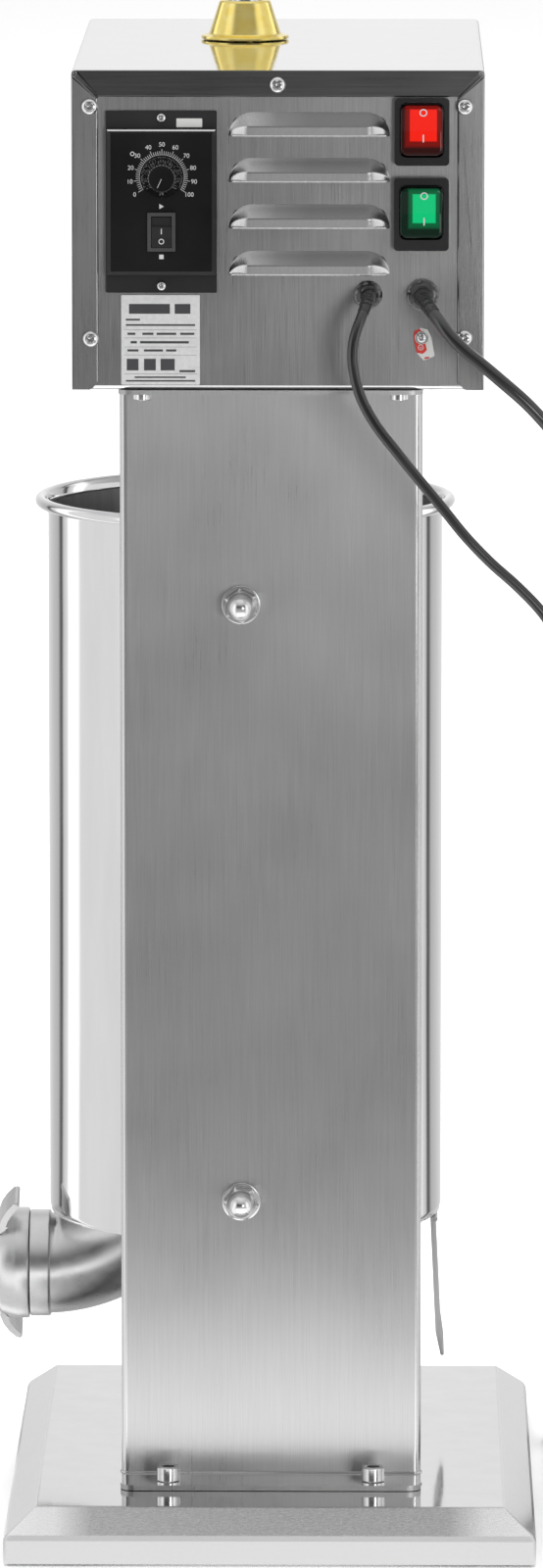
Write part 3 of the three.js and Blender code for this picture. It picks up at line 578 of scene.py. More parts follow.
def piece(name, bm, look, body, slot, *nodes, sharp=40.0):
    """Turns a bmesh into a finished piece that rides on a body and stands for the CAD nodes it names."""
    mesh = as_mesh(name, bm)
    mesh.shade_smooth()
    mesh.set_sharp_from_angle(angle=math.radians(sharp))
    made = bpy.data.objects.new(name, mesh)
    bpy.context.scene.collection.objects.link(made)
    for entry in [look] if isinstance(look, str) else look:
        mesh.materials.append(LOOKS[entry])
    normals = made.modifiers.new("normals", "WEIGHTED_NORMAL")
    normals.keep_sharp = True
    normals.weight = 100
    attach(made, body)
    if nodes:
        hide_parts(*nodes)
    return made


def lathed(name, profile, look, body, slot, *nodes, at, segments=48, sharp=40.0):
    bm = bmesh.new()
    add_lathe(bm, profile, segments, at)
    return piece(name, bm, look, body, slot, *nodes, sharp=sharp)


def cut_away(obj, cutter_bm):
    """Takes the cutter's shape out of a piece for good."""
    tool = bpy.data.objects.new("cutter", as_mesh("cutter", cutter_bm))
    bpy.context.scene.collection.objects.link(tool)
    modifier = obj.modifiers.new("cut", "BOOLEAN")
    modifier.operation, modifier.object, modifier.solver = "DIFFERENCE", tool, "EXACT"
    obj.modifiers.move(len(obj.modifiers) - 1, 0)
    normals = obj.modifiers["normals"]
    normals.show_viewport = False
    depsgraph = bpy.context.evaluated_depsgraph_get()
    cut = bpy.data.meshes.new_from_object(obj.evaluated_get(depsgraph))
    obj.modifiers.remove(modifier)
    normals.show_viewport = True
    obj.data = cut
    cut.set_sharp_from_angle(angle=math.radians(40))
    bpy.data.objects.remove(tool)


# ---- Studio ----
RING = [  # light by direction round the object, from the barrel's side (0) to the control side (1)
    (0.0, 0.95), (0.05, 0.84), (0.15, 0.64), (0.222, 0.5), (0.24, 0.1), (0.254, 0.1), (0.266, 0.62),
    (0.297, 0.85), (0.305, 1.3), (0.366, 1.3), (0.378, 0.8), (0.57, 0.8), (0.62, 1.25), (0.71, 1.25),
    (0.78, 0.5), (1.0, 0.5),
]


def ring_light(nodes, vector):
    """The light that polished metal sees by direction, how far round that is, and the vector's own parts."""
    parts = nodes.parts(vector)
    aside = nodes.math("ABSOLUTE", parts[0])
    turn = nodes.math("DIVIDE", nodes.math("ARCTAN2", aside, parts[1]), math.pi)
    return nodes.ramp(turn, RING), turn, parts


def towards_camera(nodes, turn, ring, front):
    """The ring's light, giving way to the front's in the last stretch round to the control side."""
    return mixed(nodes, nodes.ramp(turn, [(0.72, 0.0), (0.8, 1.0)]), ring, front)


def only_in_metal(nodes, plain, seen):
    """A shader that a reflection sees as seen, and everything else as plain."""
    swap = nodes.add("ShaderNodeMixShader")
    nodes.link(nodes.add("ShaderNodeLightPath").outputs["Is Glossy Ray"], swap.inputs[0])
    nodes.link(plain, swap.inputs[1])
    nodes.link(seen, swap.inputs[2])
    return swap.outputs[0]


def make_world():
    world = bpy.data.worlds.new("studio")
    bpy.context.scene.world = world
    world.use_nodes = True
    nodes = Nodes(world.node_tree)
    ring, turn, parts = ring_light(nodes, nodes.add("ShaderNodeTexCoord").outputs["Generated"])
    height = parts[2]
    front = nodes.ramp(height, [(0.0, 0.3), (0.12, 0.07), (0.5, 0.07), (0.7, 0.5)])
    low = towards_camera(nodes, turn, ring, front)
    above = nodes.ramp(height, [(0.7, (0.62, 0.62, 0.63)), (0.95, (0.85, 0.85, 0.86))])
    seen = nodes.add("ShaderNodeBackground")
    nodes.link(mixed(nodes, nodes.ramp(height, [(0.3, 0.0), (0.7, 1.0)]), low, above), seen.inputs["Color"])
    plain = nodes.add("ShaderNodeBackground")
    plain.inputs["Color"].default_value = rgba(1.0)
    shown = only_in_metal(nodes, plain.outputs[0], seen.outputs[0])
    nodes.link(shown, nodes.add("ShaderNodeOutputWorld").inputs[0])


def make_floor():
    """A wide pale floor. Metal sees it bright near the object, and dimmer towards the camera's side."""
    mesh = bpy.data.meshes.new("floor")
    size = 40
    reach_scale = 10.0  # the distance in metres that the ramp below calls 1
    mesh.from_pydata([(x, y, 0) for x, y in rectangle((-size, -size), (size, size))], [], [(0, 1, 2, 3)])
    floor = bpy.data.objects.new("floor", mesh)
    bpy.context.scene.collection.objects.link(floor)
    made, nodes, socket = material("floor")
    socket["Base Color"].default_value = rgba(0.93)
    socket["Roughness"].default_value = 0.8
    position = nodes.place()
    ring, turn, _ = ring_light(nodes, position)
    length = nodes.add("ShaderNodeVectorMath", operation="LENGTH")
    nodes.link(position, length.inputs[0])
    front = nodes.ramp(nodes.math("DIVIDE", length.outputs["Value"], reach_scale), [
        (0.05, 1.65), (0.062, 1.35), (0.085, 0.7), (0.107, 0.45), (0.25, 0.46), (0.36, 0.3), (0.6, 0.24)])
    glow = nodes.add("ShaderNodeEmission")
    nodes.link(towards_camera(nodes, turn, ring, front), glow.inputs["Color"])
    output = next(n for n in nodes.tree.nodes if n.type == "OUTPUT_MATERIAL")
    plain = next(n for n in nodes.tree.nodes if n.type == "BSDF_PRINCIPLED")
    nodes.link(only_in_metal(nodes, plain.outputs[0], glow.outputs[0]), output.inputs["Surface"])
    mesh.materials.append(made)


def make_lights():
    """Soft boxes. name: (place, looks at, width, watts, whether metal reflects it)."""
    boxes = {
        "overhead": ((0, 0.2, 3.2), (0, 0.2, 0), 3.0, 70, False),
        "behind": ((0, 4.0, 3.2), (0, 5.0, 0), 5.0, 150, False),
        "key": ((0.95, -2.4, 0.6), (0, 0, 0.6), 0.7, 6, True),
    }
    for name, (at, target, width, watts, reflected) in boxes.items():
        data = bpy.data.lights.new(name, "AREA")
        data.size, data.energy = width, watts
        light = bpy.data.objects.new(name, data)
        light.location = at
        light.rotation_euler = (Vector(target) - Vector(at)).to_track_quat("-Z", "Y").to_euler()
        light.visible_glossy = reflected
        light.visible_camera = False
        bpy.context.scene.collection.objects.link(light)
    bpy.context.scene.view_settings.view_transform = "Standard"


# ---- Cords ----
MAINS_D = 7.2
PEDAL_D = 6
TOUCH = 0.3  # the gap left where a cord meets what is on its end
MAINS_ROUTE = [
    (82.8, -164.3, 694), (83.1, -169.3, 693.7), (83.9, -174.3, 692.6), (87, -183, 688.7),
    (91.8, -189.5, 682.7), (98, -193, 675), (106, -195, 667.3), (114.5, -196, 660.5), (126, -198, 651),
    (139, -198, 639.5), (152, -196, 625), (164, -192, 607), (174, -187, 584), (181, -181, 555),
    (185, -174, 515), (186, -166, 460), (185, -158, 390), (182, -151, 310), (178, -145, 230),
    (173, -140, 160), (168, -137, 100), (165, -136, 53.6), (162.5, -129.3, 28.6), (161, -111, 11),
    (160, -86, 4.6), (160, -60, 3.7), (160, -30, 3.6), (160, 0, 3.6), (160, 30, 3.6), (160, 60, 3.6),
    (160, 91.2, 3.6),
]
PEDAL_ROUTE = [
    (53.2, -162.3, 694), (53.1, -166.5, 693.7), (52.7, -170.6, 692.7), (51.1, -177.8, 688.8),
    (48.6, -183.2, 682.5), (46.1, -186, 675.6), (44.7, -187.7, 667), (45.4, -189, 656), (49.4, -191, 641.5),
    (57.5, -193, 627), (68.9, -195, 612.5), (81.1, -196, 597.5), (93.2, -197, 583), (105.8, -198, 567.5),
    (119.7, -198, 553), (134.2, -198, 540), (147.8, -198, 525.5), (160, -198, 506), (171, -198, 479),
    (179, -197, 440), (184, -196, 390), (187, -196, 320), (189, -196, 240), (190, -197, 160), (190, -198, 95),
    (190, -198, 48), (190, -192, 25.5), (190, -175.5, 9), (190, -153, 3.3), (190, -143.4, 3.1),
]


def smooth_route(points, per_span=6):
    """A centripetal Catmull-Rom curve through a route."""
    line = [Vector(point) for point in points]
    line = [2 * line[0] - line[1], *line, 2 * line[-1] - line[-2]]
    made = []
    for p0, p1, p2, p3 in zip(line, line[1:], line[2:], line[3:]):
        d0, d1, d2 = [math.sqrt((b - a).length) for a, b in ((p0, p1), (p1, p2), (p2, p3))]
        start = ((p1 - p0) / d0 - (p2 - p0) / (d0 + d1) + (p2 - p1) / d1) * d1
        end = ((p2 - p1) / d1 - (p3 - p1) / (d1 + d2) + (p3 - p2) / d2) * d1
        for step in range(per_span):
            t = step / per_span
            made.append(p1 * (2 * t**3 - 3 * t**2 + 1) + start * (t**3 - 2 * t**2 + t)
                        + p2 * (3 * t**2 - 2 * t**3) + end * (t**3 - t**2))
    return [*made, line[-2]]


def evenly(path, count):
    """The same line as evenly spaced points."""
    total = line_length(path)
    made, index, gone = [path[0]], 0, 0.0
    for step in range(1, count):
        goal = total * step / (count - 1)
        while index < len(path) - 2 and gone + (path[index + 1] - path[index]).length < goal:
            gone += (path[index + 1] - path[index]).length
            index += 1
        span = path[index + 1] - path[index]
        made.append(path[index] + span * min(1.0, (goal - gone) / span.length))
    return made


def line_length(points):
    return sum((b - a).length for a, b in zip(points, points[1:]))


def straight(start, end, steps):
    return [start.lerp(end, step / steps) for step in range(1, steps + 1)]


def rising(start, end, steps):
    """Like straight, but level at both ends."""
    made = straight(start, end, steps)
    for step, point in enumerate(made, 1):
        t = step / steps
        point.z = start.z + (end.z - start.z) * t * t * (3 - 2 * t)
    return made


def eased(at, stops):
    """The value at an angle along (angle, value) stops, with a smooth change between two stops."""
    for (a0, v0), (a1, v1) in zip(stops, stops[1:]):
        if at <= a1:
            t = max(0.0, (at - a0) / (a1 - a0))
            return v0 + (v1 - v0) * t * t * (3 - 2 * t)
    return stops[-1][1]


def coil(at, radii, heights, inward, outward, upward, total):
    """Clockwise turns from the coil's left side, in degrees turned.

    It is wide, narrow from inward to outward, then wide again, and lies on a second layer from upward on.
    """
    (wide, narrow), (low, high) = radii, heights
    step, change, first_layer = 7.5, 60, 540
    across = [(0, wide), (inward, wide), (inward + change, narrow), (outward, narrow),
              (outward + change, wide), (total, wide)]
    rise = [(0, low), (first_layer, low), (upward, high), (total, high)]
    made = []
    for index in range(1, round(total / step) + 1):
        turned = index * step
        angle, radius = math.radians(180 - turned), eased(turned, across)
        made.append(Vector((at.x + radius * math.cos(angle), at.y + radius * math.sin(angle),
                            eased(turned, rise))))
    return made


def cord_curve(name, points, diameter):
    curve = bpy.data.curves.new(name, "CURVE")
    curve.dimensions = "3D"
    curve.bevel_depth = diameter / 2 * MM
    curve.bevel_resolution = 4
    curve.use_fill_caps = True
    spline = curve.splines.new("POLY")
    spline.points.add(len(points) - 1)
    for target, point in zip(spline.points, points):
        target.co = (*(point * MM), 1)
    made = bpy.data.objects.new(name, curve)
    bpy.context.scene.collection.objects.link(made)
    curve.materials.append(LOOKS["jacket"])
    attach(made, "frame")
    return made


def make_boot(name, points, radius, tip, length):
    """A tapered, ribbed sleeve over the first stretch of a cord."""
    path, gone = [points[0]], 0.0
    for before, after in zip(points, points[1:]):
        gone += (after - before).length
        if gone > length:
            break
        path.append(after)
    bends = evenly(path, 30)
    radii = []
    for index in range(len(bends)):
        share = index / (len(bends) - 1)
        rib = 0.25 if index % 5 in (1, 2) and 0.1 < share < 0.9 else 0.0
        radii.append(radius + (tip - radius) * share - rib)
    bm = bmesh.new()
    add_tube(bm, bends, radii, 24)
    return piece(name, bm, "black_plastic", "frame", "black_plastic", sharp=60)


def make_tie(name, node, diameter, radii):
    """A flat strap round the coil's four runs, with its tail."""
    at = middle(node)
    x, y = at.x, at.y - sum(radii) / 2
    half_y, half_z = diameter + 0.9, diameter + 0.75
    width, strap = 2.4, 0.5
    outline = softened(rectangle((-half_y, 0.3), (half_y, 2 * half_z)), 0.42 * diameter, steps=5)
    bm = bmesh.new()
    rings = []
    for side, shrink in ((-width, 0), (width, 0), (width, strap), (-width, strap)):
        across, up = (half_y - shrink) / half_y, (half_z - shrink) / half_z
        rings.append([bm.verts.new((x + side, y + u * across, half_z + (v - half_z) * up)) for u,
                      v in outline])
    bridge(bm, rings, closed=True)
    top = 2 * half_z
    add_block(bm, (x - 3.2, y - 2.6, top - 0.6), (x + 3.2, y + 2.6, top + 1.4), 0.5)
    return piece(name, bm, "black_matt", "frame", "black_plastic")


def lay_cord(name, points, diameter, boot, radii, make_ends):
    """A cord along its points, with its sleeve, its tie and what is on its end."""
    cord = cord_curve(f"{name}_flex", points, diameter)
    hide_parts(f"{name}_cord", f"{name}_coil")
    sleeve = make_boot(f"{name}_boot", points, *boot)
    tie = make_tie(f"{name}_tie", f"{name}_coil", diameter, radii)
    ends = make_ends()


def make_mains_cord():
    at, radii, low = middle("mains_coil"), (44.9, 37.7), MAINS_D / 2
    points = smooth_route(MAINS_ROUTE)
    points += straight(points[-1], Vector((at.x - radii[0], at.y, low)), 5)
    points += coil(at, radii, (low, 1.5 * MAINS_D), inward=255, outward=820, upward=605, total=1170)
    tail = middle("mains_plug")
    tail.x = box("mains_plug")[0].x - TOUCH
    points += rising(points[-1], tail, 6)
    lay_cord("mains", points, MAINS_D, (4.7, 3.8, 24), radii, make_plug)


def make_pedal_cord():
    at, radii, low = middle("pedal_coil"), (36, 30), PEDAL_D / 2 + 0.1
    points = smooth_route(PEDAL_ROUTE)
    points += straight(points[-1], Vector((at.x - radii[0], at.y, low)), 4)
    points += coil(at, radii, (low, 1.5 * PEDAL_D), inward=245, outward=780, upward=600, total=1080)
    end = points[-1].copy()
    end.y = box("pedal_base")[0].y - TOUCH
    points += straight(points[-1], end, 5)
    lay_cord("pedal", points, PEDAL_D, (4.0, 3.15, 21), radii, make_foot_switch)


def make_plug():
    low, high = box("mains_plug")
    at = middle("mains_plug")
    turn = place(low.x, at.y, at.z, Matrix.Rotation(math.radians(90), 4, "Y"))
    radius, pin = (high.z - low.z) / 2, 17
    face = high.x - low.x - pin
    profile = [(0, 0), (4.6, 0)]
    for rib in range(6):
        crest, root, up = 4.7 + 0.35 * rib, 4.2 + 0.3 * rib, 3.2 * rib
        profile += [(crest, up + 1), (crest, up + 2.6), (root, up + 3), (root, up + 4)]
    profile += [(7.5, 21.5), (10, 25), (13.5, 30.5), (16.2, 34.5), (17.2, 38), (radius, 39),
                (radius, face - 1.4), (radius - 1.2, face), (13, face), (12.4, face - 1.2), (0, face - 1.2)]
    bm = bmesh.new()
    add_lathe(bm, profile, 40, turn)
    start = len(bm.faces)
    for side in (-9.5, 9.5):
        add_lathe(bm, [(0, face - 2), (2.4, face - 2), (2.4, face + pin - 1.4), (1.7, face + pin - 0.2),
                       (0, face + pin)], 20, turn @ Matrix.Translation((0, side, 0)))
    mark(bm, start, 1)
    return [piece("plug", bm, ["black_plastic", "zinc"], "frame", "black_plastic", "mains_plug")]


def make_foot_switch():
    """A wedge-shaped base with a raised rim, and a ribbed treadle hinged at its cord end."""
    low, high = box("pedal_base")
    rear, tall, cord_x, cord_z = low.y + 17, 28, PEDAL_ROUTE[-1][0], 9
    side = [(rear, 0), (high.y, 0), (high.y, 5), (rear + 22, 8), (rear + 16, tall), (rear, tall)]
    bm = bmesh.new()
    add_prism(bm, softened(side, [1.5, 1.5, 2, 4, 4, 6], steps=4), low.x, high.x, 1.2, ACROSS)
    boot = [(0, -0.5), (6, -0.5), (6, 1), (5.1, 1.6), (5.1, 3.4), (5.7, 4), (5.6, 6), (4.8, 6.6), (4.8, 8.4),
            (5.2, 9), (5.1, 11), (4.4, 11.6), (4.4, 13.4), (4.6, 14), (4.0, 17), (0, 17)]
    add_lathe(bm, boot, 28, place(cord_x, rear, cord_z, OUT))
    base = piece("foot_switch_base", bm, "black_matt", "frame", "black_plastic", "pedal_base")

    low, high = box("pedal_treadle")
    side = [(low.y + 0.8, high.z - 4.5), (low.y + 1.5, high.z - 0.8), (high.y - 2, 18.8), (high.y - 0.2, 16),
            (high.y - 2, 13.8), (low.y + 7, 16.5)]
    bm = bmesh.new()
    add_prism(bm, softened(side, 1.4), low.x, high.x, 1.2, ACROSS)
    slope = math.atan2(21 - high.z, high.y - low.y - 3.5)
    for along in range(12, 61, 6):
        z = high.z - 1.3 + (along - 1.5) * math.tan(slope) * 0.86
        add_block(bm, (low.x + 6, -1.1, -1.75), (high.x - 6, 1.1, 0.45), 0.4,
                  turn=place(0, low.y + along, z, Matrix.Rotation(slope, 4, "X")))
    return base, piece("foot_switch_treadle", bm, "rubber", "pedal_treadle", "black_plastic", "pedal_treadle")


# ---- Outlines for screws and nuts ----
def hexagon(across):
    """The radius by angle of a hexagon that measures this much across its flats."""
    sixth = math.pi / 3
    return lambda angle: across / 2 / math.cos((angle + sixth / 2) % sixth - sixth / 2)


def cross(arm, half):
    """The radius by angle of a cross-head recess."""
    quarter = math.pi / 2
    return lambda angle: min(arm, half / max(math.sin(min(angle % quarter, quarter - angle % quarter)), 1e-4))


def cap_head(radius, height, shank, depth):
    """A socket-head cap screw's profile, from its socket's bottom round to its tip."""
    socket, rim = hexagon(1.05 * radius), 0.8 * radius
    return [
        (0, 0.45 * height), (socket, 0.45 * height), (socket, height - 0.3), (rim - 0.15 * radius, height),
        (rim + 0.05 * radius, height), (radius, height - 0.12 * radius), (radius, 0.5), (radius - 0.4, 0),
        (shank, 0), (shank, -depth), (0, -depth),
    ]


def pan_head(radius, height, shank, depth):
    """A cross-head pan screw's profile."""
    return [
        (0, 0.15 * height), (cross(0.2 * radius, 0.1 * radius), 0.2 * height),
        (cross(0.52 * radius, 0.13 * radius), 0.97 * height), (0.56 * radius, height),
        (0.8 * radius, 0.86 * height), (0.95 * radius, 0.6 * height), (radius, 0.3 * height), (radius, 0),
        (shank, 0), (shank, -depth), (0, -depth),
    ]


# ---- Base ----
def make_base():
    low, high = box("base_tray")
    skirt, bevel, sheet = 15, 17.5, 1.5
    outer = [(0, low.z), (0, skirt - 0.6), (1.5, skirt + 2.2), (bevel, high.z), (2 * bevel, high.z)]
    outer = softened(outer, [0, 0, 0, 3.2, 0], False, 5)
    inner = [(2 * bevel, high.z - sheet), (bevel + 0.4 * sheet, high.z - sheet), (sheet, skirt - 0.5 * sheet),
             (sheet, low.z)]
    bm = bmesh.new()
    rings = []
    for inset, z in outer + inner:
        corner = max(0.5, 2.6 - 0.1 * inset)
        loop = rectangle((low.x + inset, low.y + inset), (high.x - inset, high.y - inset))
        rings.append([bm.verts.new((x, y, z)) for x, y in softened(loop, corner, steps=4)])
    top = len(outer)
    bridge(bm, rings[top:] + rings[:top])
    bm.faces.new(rings[top - 1])
    bm.faces.new(rings[top])

    def look(_, normal):
        if abs(normal.z) < 0.4:
            return 1
        if normal.z < 0.4 or normal.z >= 0.93:
            return 0
        # front and back bevels take the mitred steel with its painted highlight, the side bevels the near-white
        # painted highlight copy
        return 2 if abs(normal.y) > abs(normal.x) and normal.z > 0.6 else 3

    paint(bm, look)
    looks = ["base_sheet", "satin", "mitred", "bevel_side_painted_highlight"]
    piece("tray", bm, looks, "frame", "polished", "base_tray", sharp=20)

    foot = [(0, 1.4), (4.2, 1.4), (4.6, 0), (11.8, 0), (12.7, 0.4), (13.1, 1.3), (15.9, 24), (15.6, 27.6),
            (0, 28)]
    for row in ("rear", "front"):
        for side in ("left", "right"):
            node = f"foot_{row}_{side}"
            at = middle(node)
            lathed(f"rubber_{node}", foot, "rubber", "frame", "rubber", node, at=place(at.x, at.y, 0))


# ---- Column ----
def make_column():
    low, high = box("column")
    rear, wall, bend = -121, 2, 4.5
    foot, cap = low.z + 3, high.z - 2.5
    tube = softened(rectangle((low.x, rear), (high.x, high.y)), [bend, bend, 0.5, 0.5], steps=7)
    inside = softened(rectangle((low.x + wall, rear + wall), (high.x - wall, high.y - wall)), wall, steps=3)
    flange = softened(rectangle((low.x, low.y), (high.x, high.y)), [8, 8, 0.5, 0.5], steps=8)
    bm = bmesh.new()
    add_holed(bm, tube, [inside], foot - 0.2, cap + 0.2)
    add_holed(bm, flange, [inside], low.z, foot)
    add_holed(bm, flange, [inside], cap, high.z)
    for weld in (foot + 0.2, cap - 0.2):
        add_tube(bm, [(x, y, weld) for x, y in tube if y < rear + bend + 0.001], 0.9, 8)

    def look(centre, normal):
        if normal.z > 0.9 and abs(centre.z - foot) < 0.1:
            return 1
        # the front corners' bends take the lighter pressed steel: partly a smoother finish, partly a painted
        # highlight
        return 2 if abs(normal.x) > 0.15 and normal.y < -0.15 and foot < centre.z < cap else 0

    paint(bm, look)
    shell = piece("column_shell", bm, ["brushed_z", "top_sheet", "pressed"], "frame", "brushed", "column")
    edge_rounding(shell, 0.9)


def make_column_fasteners():
    for side in ("left", "right"):
        node = f"flange_screw_{side}"
        at, top = middle(node), box(node)[1].z
        turn = Matrix.Rotation(RNG.uniform(0, 1), 4, "Z")
        lathed(f"{node}_head", cap_head(6.5, 8, 3.9, 13.8), "zinc", "frame", "zinc", node,
               at=place(at.x, at.y, top - 8, turn))
        node = f"head_screw_{side}"
        at, bottom = middle(node), box(node)[0].z
        lathed(f"{node}_head", cap_head(5, 4, 2.9, 11.8), "zinc", "frame", "zinc", node,
               at=place(at.x, at.y, bottom + 4, DOWN))

    flats = hexagon(17)
    dome = [(0, 10), (5.2, 10), (5.2, 0), (7.9, 0), (flats, 0.7), (flats, 6.6), (8.1, 8), (7.7, 8.6),
            (7.7, 10.2), (7.2, 12.6), (6.1, 14.9), (4.5, 16.6), (2.4, 17.6), (0, 18)]
    ring = [(5.5, 0), (10, 0), (10.5, 0.3), (10.5, 1.7), (10, 2), (5.5, 2)]
    for level in ("upper", "lower"):
        for node, profile in ((f"washer_{level}", ring), (f"dome_nut_{level}", dome)):
            at, back = middle(node), box(node)[1].y
            turn = OUT @ Matrix.Rotation(RNG.uniform(0, 1), 4, "Z")
            lathed(f"{node}_turned", profile, "zinc", "frame", "zinc", node, at=place(at.x, back, at.z, turn))


# ---- Barrel, outlet and wing nut ----
OUTER, INNER = 111.5, 110  # the barrel's radii


def make_barrel():
    low, high = box("barrel")
    at = middle("barrel")
    bead, foot = 3.25, low.z
    rim = high.z - bead
    roll = [(115.5 + bead * math.cos(a), rim + bead * math.sin(a)) for a in arc(-140, 180, 17)]
    profile = [
        (0, foot), (OUTER - 4.5, foot), (OUTER - 2, foot + 0.5), (OUTER - 0.5, foot + 2), (OUTER, foot + 4.5),
        (OUTER, rim - 5.5), (OUTER + 0.4, rim - 3), *roll, (INNER + 1.6, rim + 1.4), (INNER + 0.3, rim - 1),
        (INNER, rim - 4), (INNER, foot + 6), (INNER - 1.5, foot + 2.6), (INNER - 5, foot + 1.5),
        (0, foot + 1.5),
    ]
    bm = bmesh.new()
    add_lathe(bm, profile, 144, place(at.x, at.y, 0))

    def look(centre, _):
        return int(math.hypot(centre.x - at.x, centre.y - at.y) < INNER + 0.1 and centre.z > foot + 1)

    paint(bm, look)
    barrel = piece("barrel_shell", bm, ["polished", "barrel_inside"], "barrel", "polished", "barrel")
    bm = bmesh.new()
    add_tube(bm, outlet_path(), 26.5, 40)
    for vertex in bm.verts:
        vertex.co.z = min(vertex.co.z, foot + 3)
    cut_away(barrel, bm)

    bm = bmesh.new()
    reach = OUTER - 1.6
    around = [(at.x + reach * math.cos(a), at.y + reach * math.sin(a), foot + 1)
              for a in arc(0, 360, 145)[:-1]]
    add_tube(bm, around, 1.05, 8, closed=True)
    x, y = at.x + INNER * math.cos(2.2) - 0.1, at.y + INNER * math.sin(2.2)
    add_tube(bm, [(x, y, z) for z in (153, 250, 350, 450, 548)], 0.45, 6)
    piece("barrel_welds", bm, "weld", "barrel", "polished")


def outlet_path():
    """The outlet's line: level from its end, then up and round into the barrel's floor."""
    axis = middle("wing_nut")
    bend_x, radius = -131, 80
    level = [Vector((x, axis.y, axis.z)) for x in (-139.3, -136.5, -134, -132)]
    around = [Vector((bend_x + radius * math.sin(a), axis.y, axis.z + radius * (1 - math.cos(a))))
              for a in arc(0, 68, 41)[1:]]
    return level + around


def make_outlet():
    _, high = box("outlet_elbow")
    axis = middle("wing_nut")
    path = outlet_path()
    side = Vector((0, -1, 0))
    bm = bmesh.new()
    walls = []
    for wall in (29, 26.5):
        rings, gone = [], 0.0
        for index, point in enumerate(path):
            gone += (point - path[index - 1]).length if index else 0.0
            along = (path[min(index + 1, len(path) - 1)] - path[max(index - 1, 0)]).normalized()
            up = Vector((-along.z, 0, along.x))
            ring = []
            for x, y in circle(1, 64):
                fold = max(0.0, y + 0.1) * math.exp(-((gone - (12 + 6 * y)) / 2.8) ** 2)
                ring.append(bm.verts.new(point + (wall - 1.5 * fold) * (side * x + up * y)))
            rings.append(ring)
        walls.append(rings)
    bridge(bm, walls[0] + walls[1][::-1], closed=True)
    elbow = piece("elbow", bm, "cast", "barrel", "polished", "outlet_elbow")
    block = bmesh.new()
    add_block(block, (-200, -100, high.z), (100, 200, high.z + 100))
    cut_away(elbow, block)

    collar = [(25.5, 127.5), (29.9, 127.5), (30.3, 128.2), (30.5, 129), (30.5, 138.6), (30.0, 139.3),
              (28, 139.3), (27.4, 140), (28, 140.7), (28, 142), (27.4, 142.7), (28, 143.4), (28, 144.7),
              (27.4, 145.4), (28, 146.1), (27.6, 147), (25.5, 147)]
    lathed("outlet_collar", collar, "cast", "barrel", "polished", at=place(0, axis.y, axis.z, LEFT),
           segments=72)

    # The weld where the elbow's skin meets the barrel's floor, as an ellipse
    bm = bmesh.new()
    centre_x, half_x, half_y = -70.5, 42, 29
    bead = [(centre_x - half_x * math.cos(a), axis.y + half_y * math.sin(a), high.z - 0.3)
            for a in arc(-150, 150, 41)]
    add_tube(bm, bead, 1.3, 10)
    piece("outlet_weld", bm, "weld", "barrel", "polished")


def make_wing_nut():
    axis = middle("wing_nut")
    lean = 25
    turn = place(0, axis.y, axis.z, Matrix.Rotation(math.radians(lean), 4, "X") @ LEFT)
    hub = [(28.5, 139.8), (31.2, 139.8), (31.75, 140.5), (31.75, 146.2), (31.2, 147.8), (30.4, 151),
           (29, 155.4), (27.6, 157.2), (26.4, 157.5), (24.6, 157.5), (23.8, 156.8), (23, 152.4), (24, 150.4),
           (28.5, 150.4)]
    bm = bmesh.new()
    add_lathe(bm, hub, 72, turn)
    blade = [(-157.5, 24.5), (-157.1, 30), (-155.2, 36.5), (-152.2, 42), (-147.3, 47.8), (-145.4, 47.8),
             (-144.4, 46), (-148.6, 40.5), (-151.6, 35.5), (-152.9, 31.5), (-151.6, 28.5)]
    half_width, taper, root, length = 11, 0.22, 26, 22
    for half_turn in (0, 180):
        spin = place(0, axis.y, axis.z, Matrix.Rotation(math.radians(lean + half_turn), 4, "X"))
        before = set(bm.verts)
        add_prism(bm, softened(blade, 1.6), -half_width, half_width, 1.7, OUT, 4)
        for vertex in [v for v in bm.verts if v not in before]:
            vertex.co.y *= 1 - taper * min(1.0, max(0.0, (vertex.co.z - root) / length))
            vertex.co = spin @ vertex.co
    piece("wing_nut_cast", bm, "cast", "wing_nut", "polished", "wing_nut")


def make_leg():
    low, high = box("barrel_leg")
    y, half_width = middle("barrel_leg").y, 30
    x, tip, thick = low.x, high.x - 2, 3
    side = [(x, high.z), (tip - thick, low.z + 14), (tip, low.z), (tip + 2, low.z + 0.6), (tip, low.z + 15),
            (x + thick, high.z)]
    bm = bmesh.new()
    add_prism(bm, softened(side, 1.0), -half_width, half_width, 0.7, place(0, y, 0, OUT))
    add_tube(bm, [(x + thick, y + off, high.z - 1.2) for off in range(-half_width, half_width + 1, 6)], 1.3,
             8)
    piece("leg_strip", bm, "brushed_z", "barrel", "brushed", "barrel_leg")


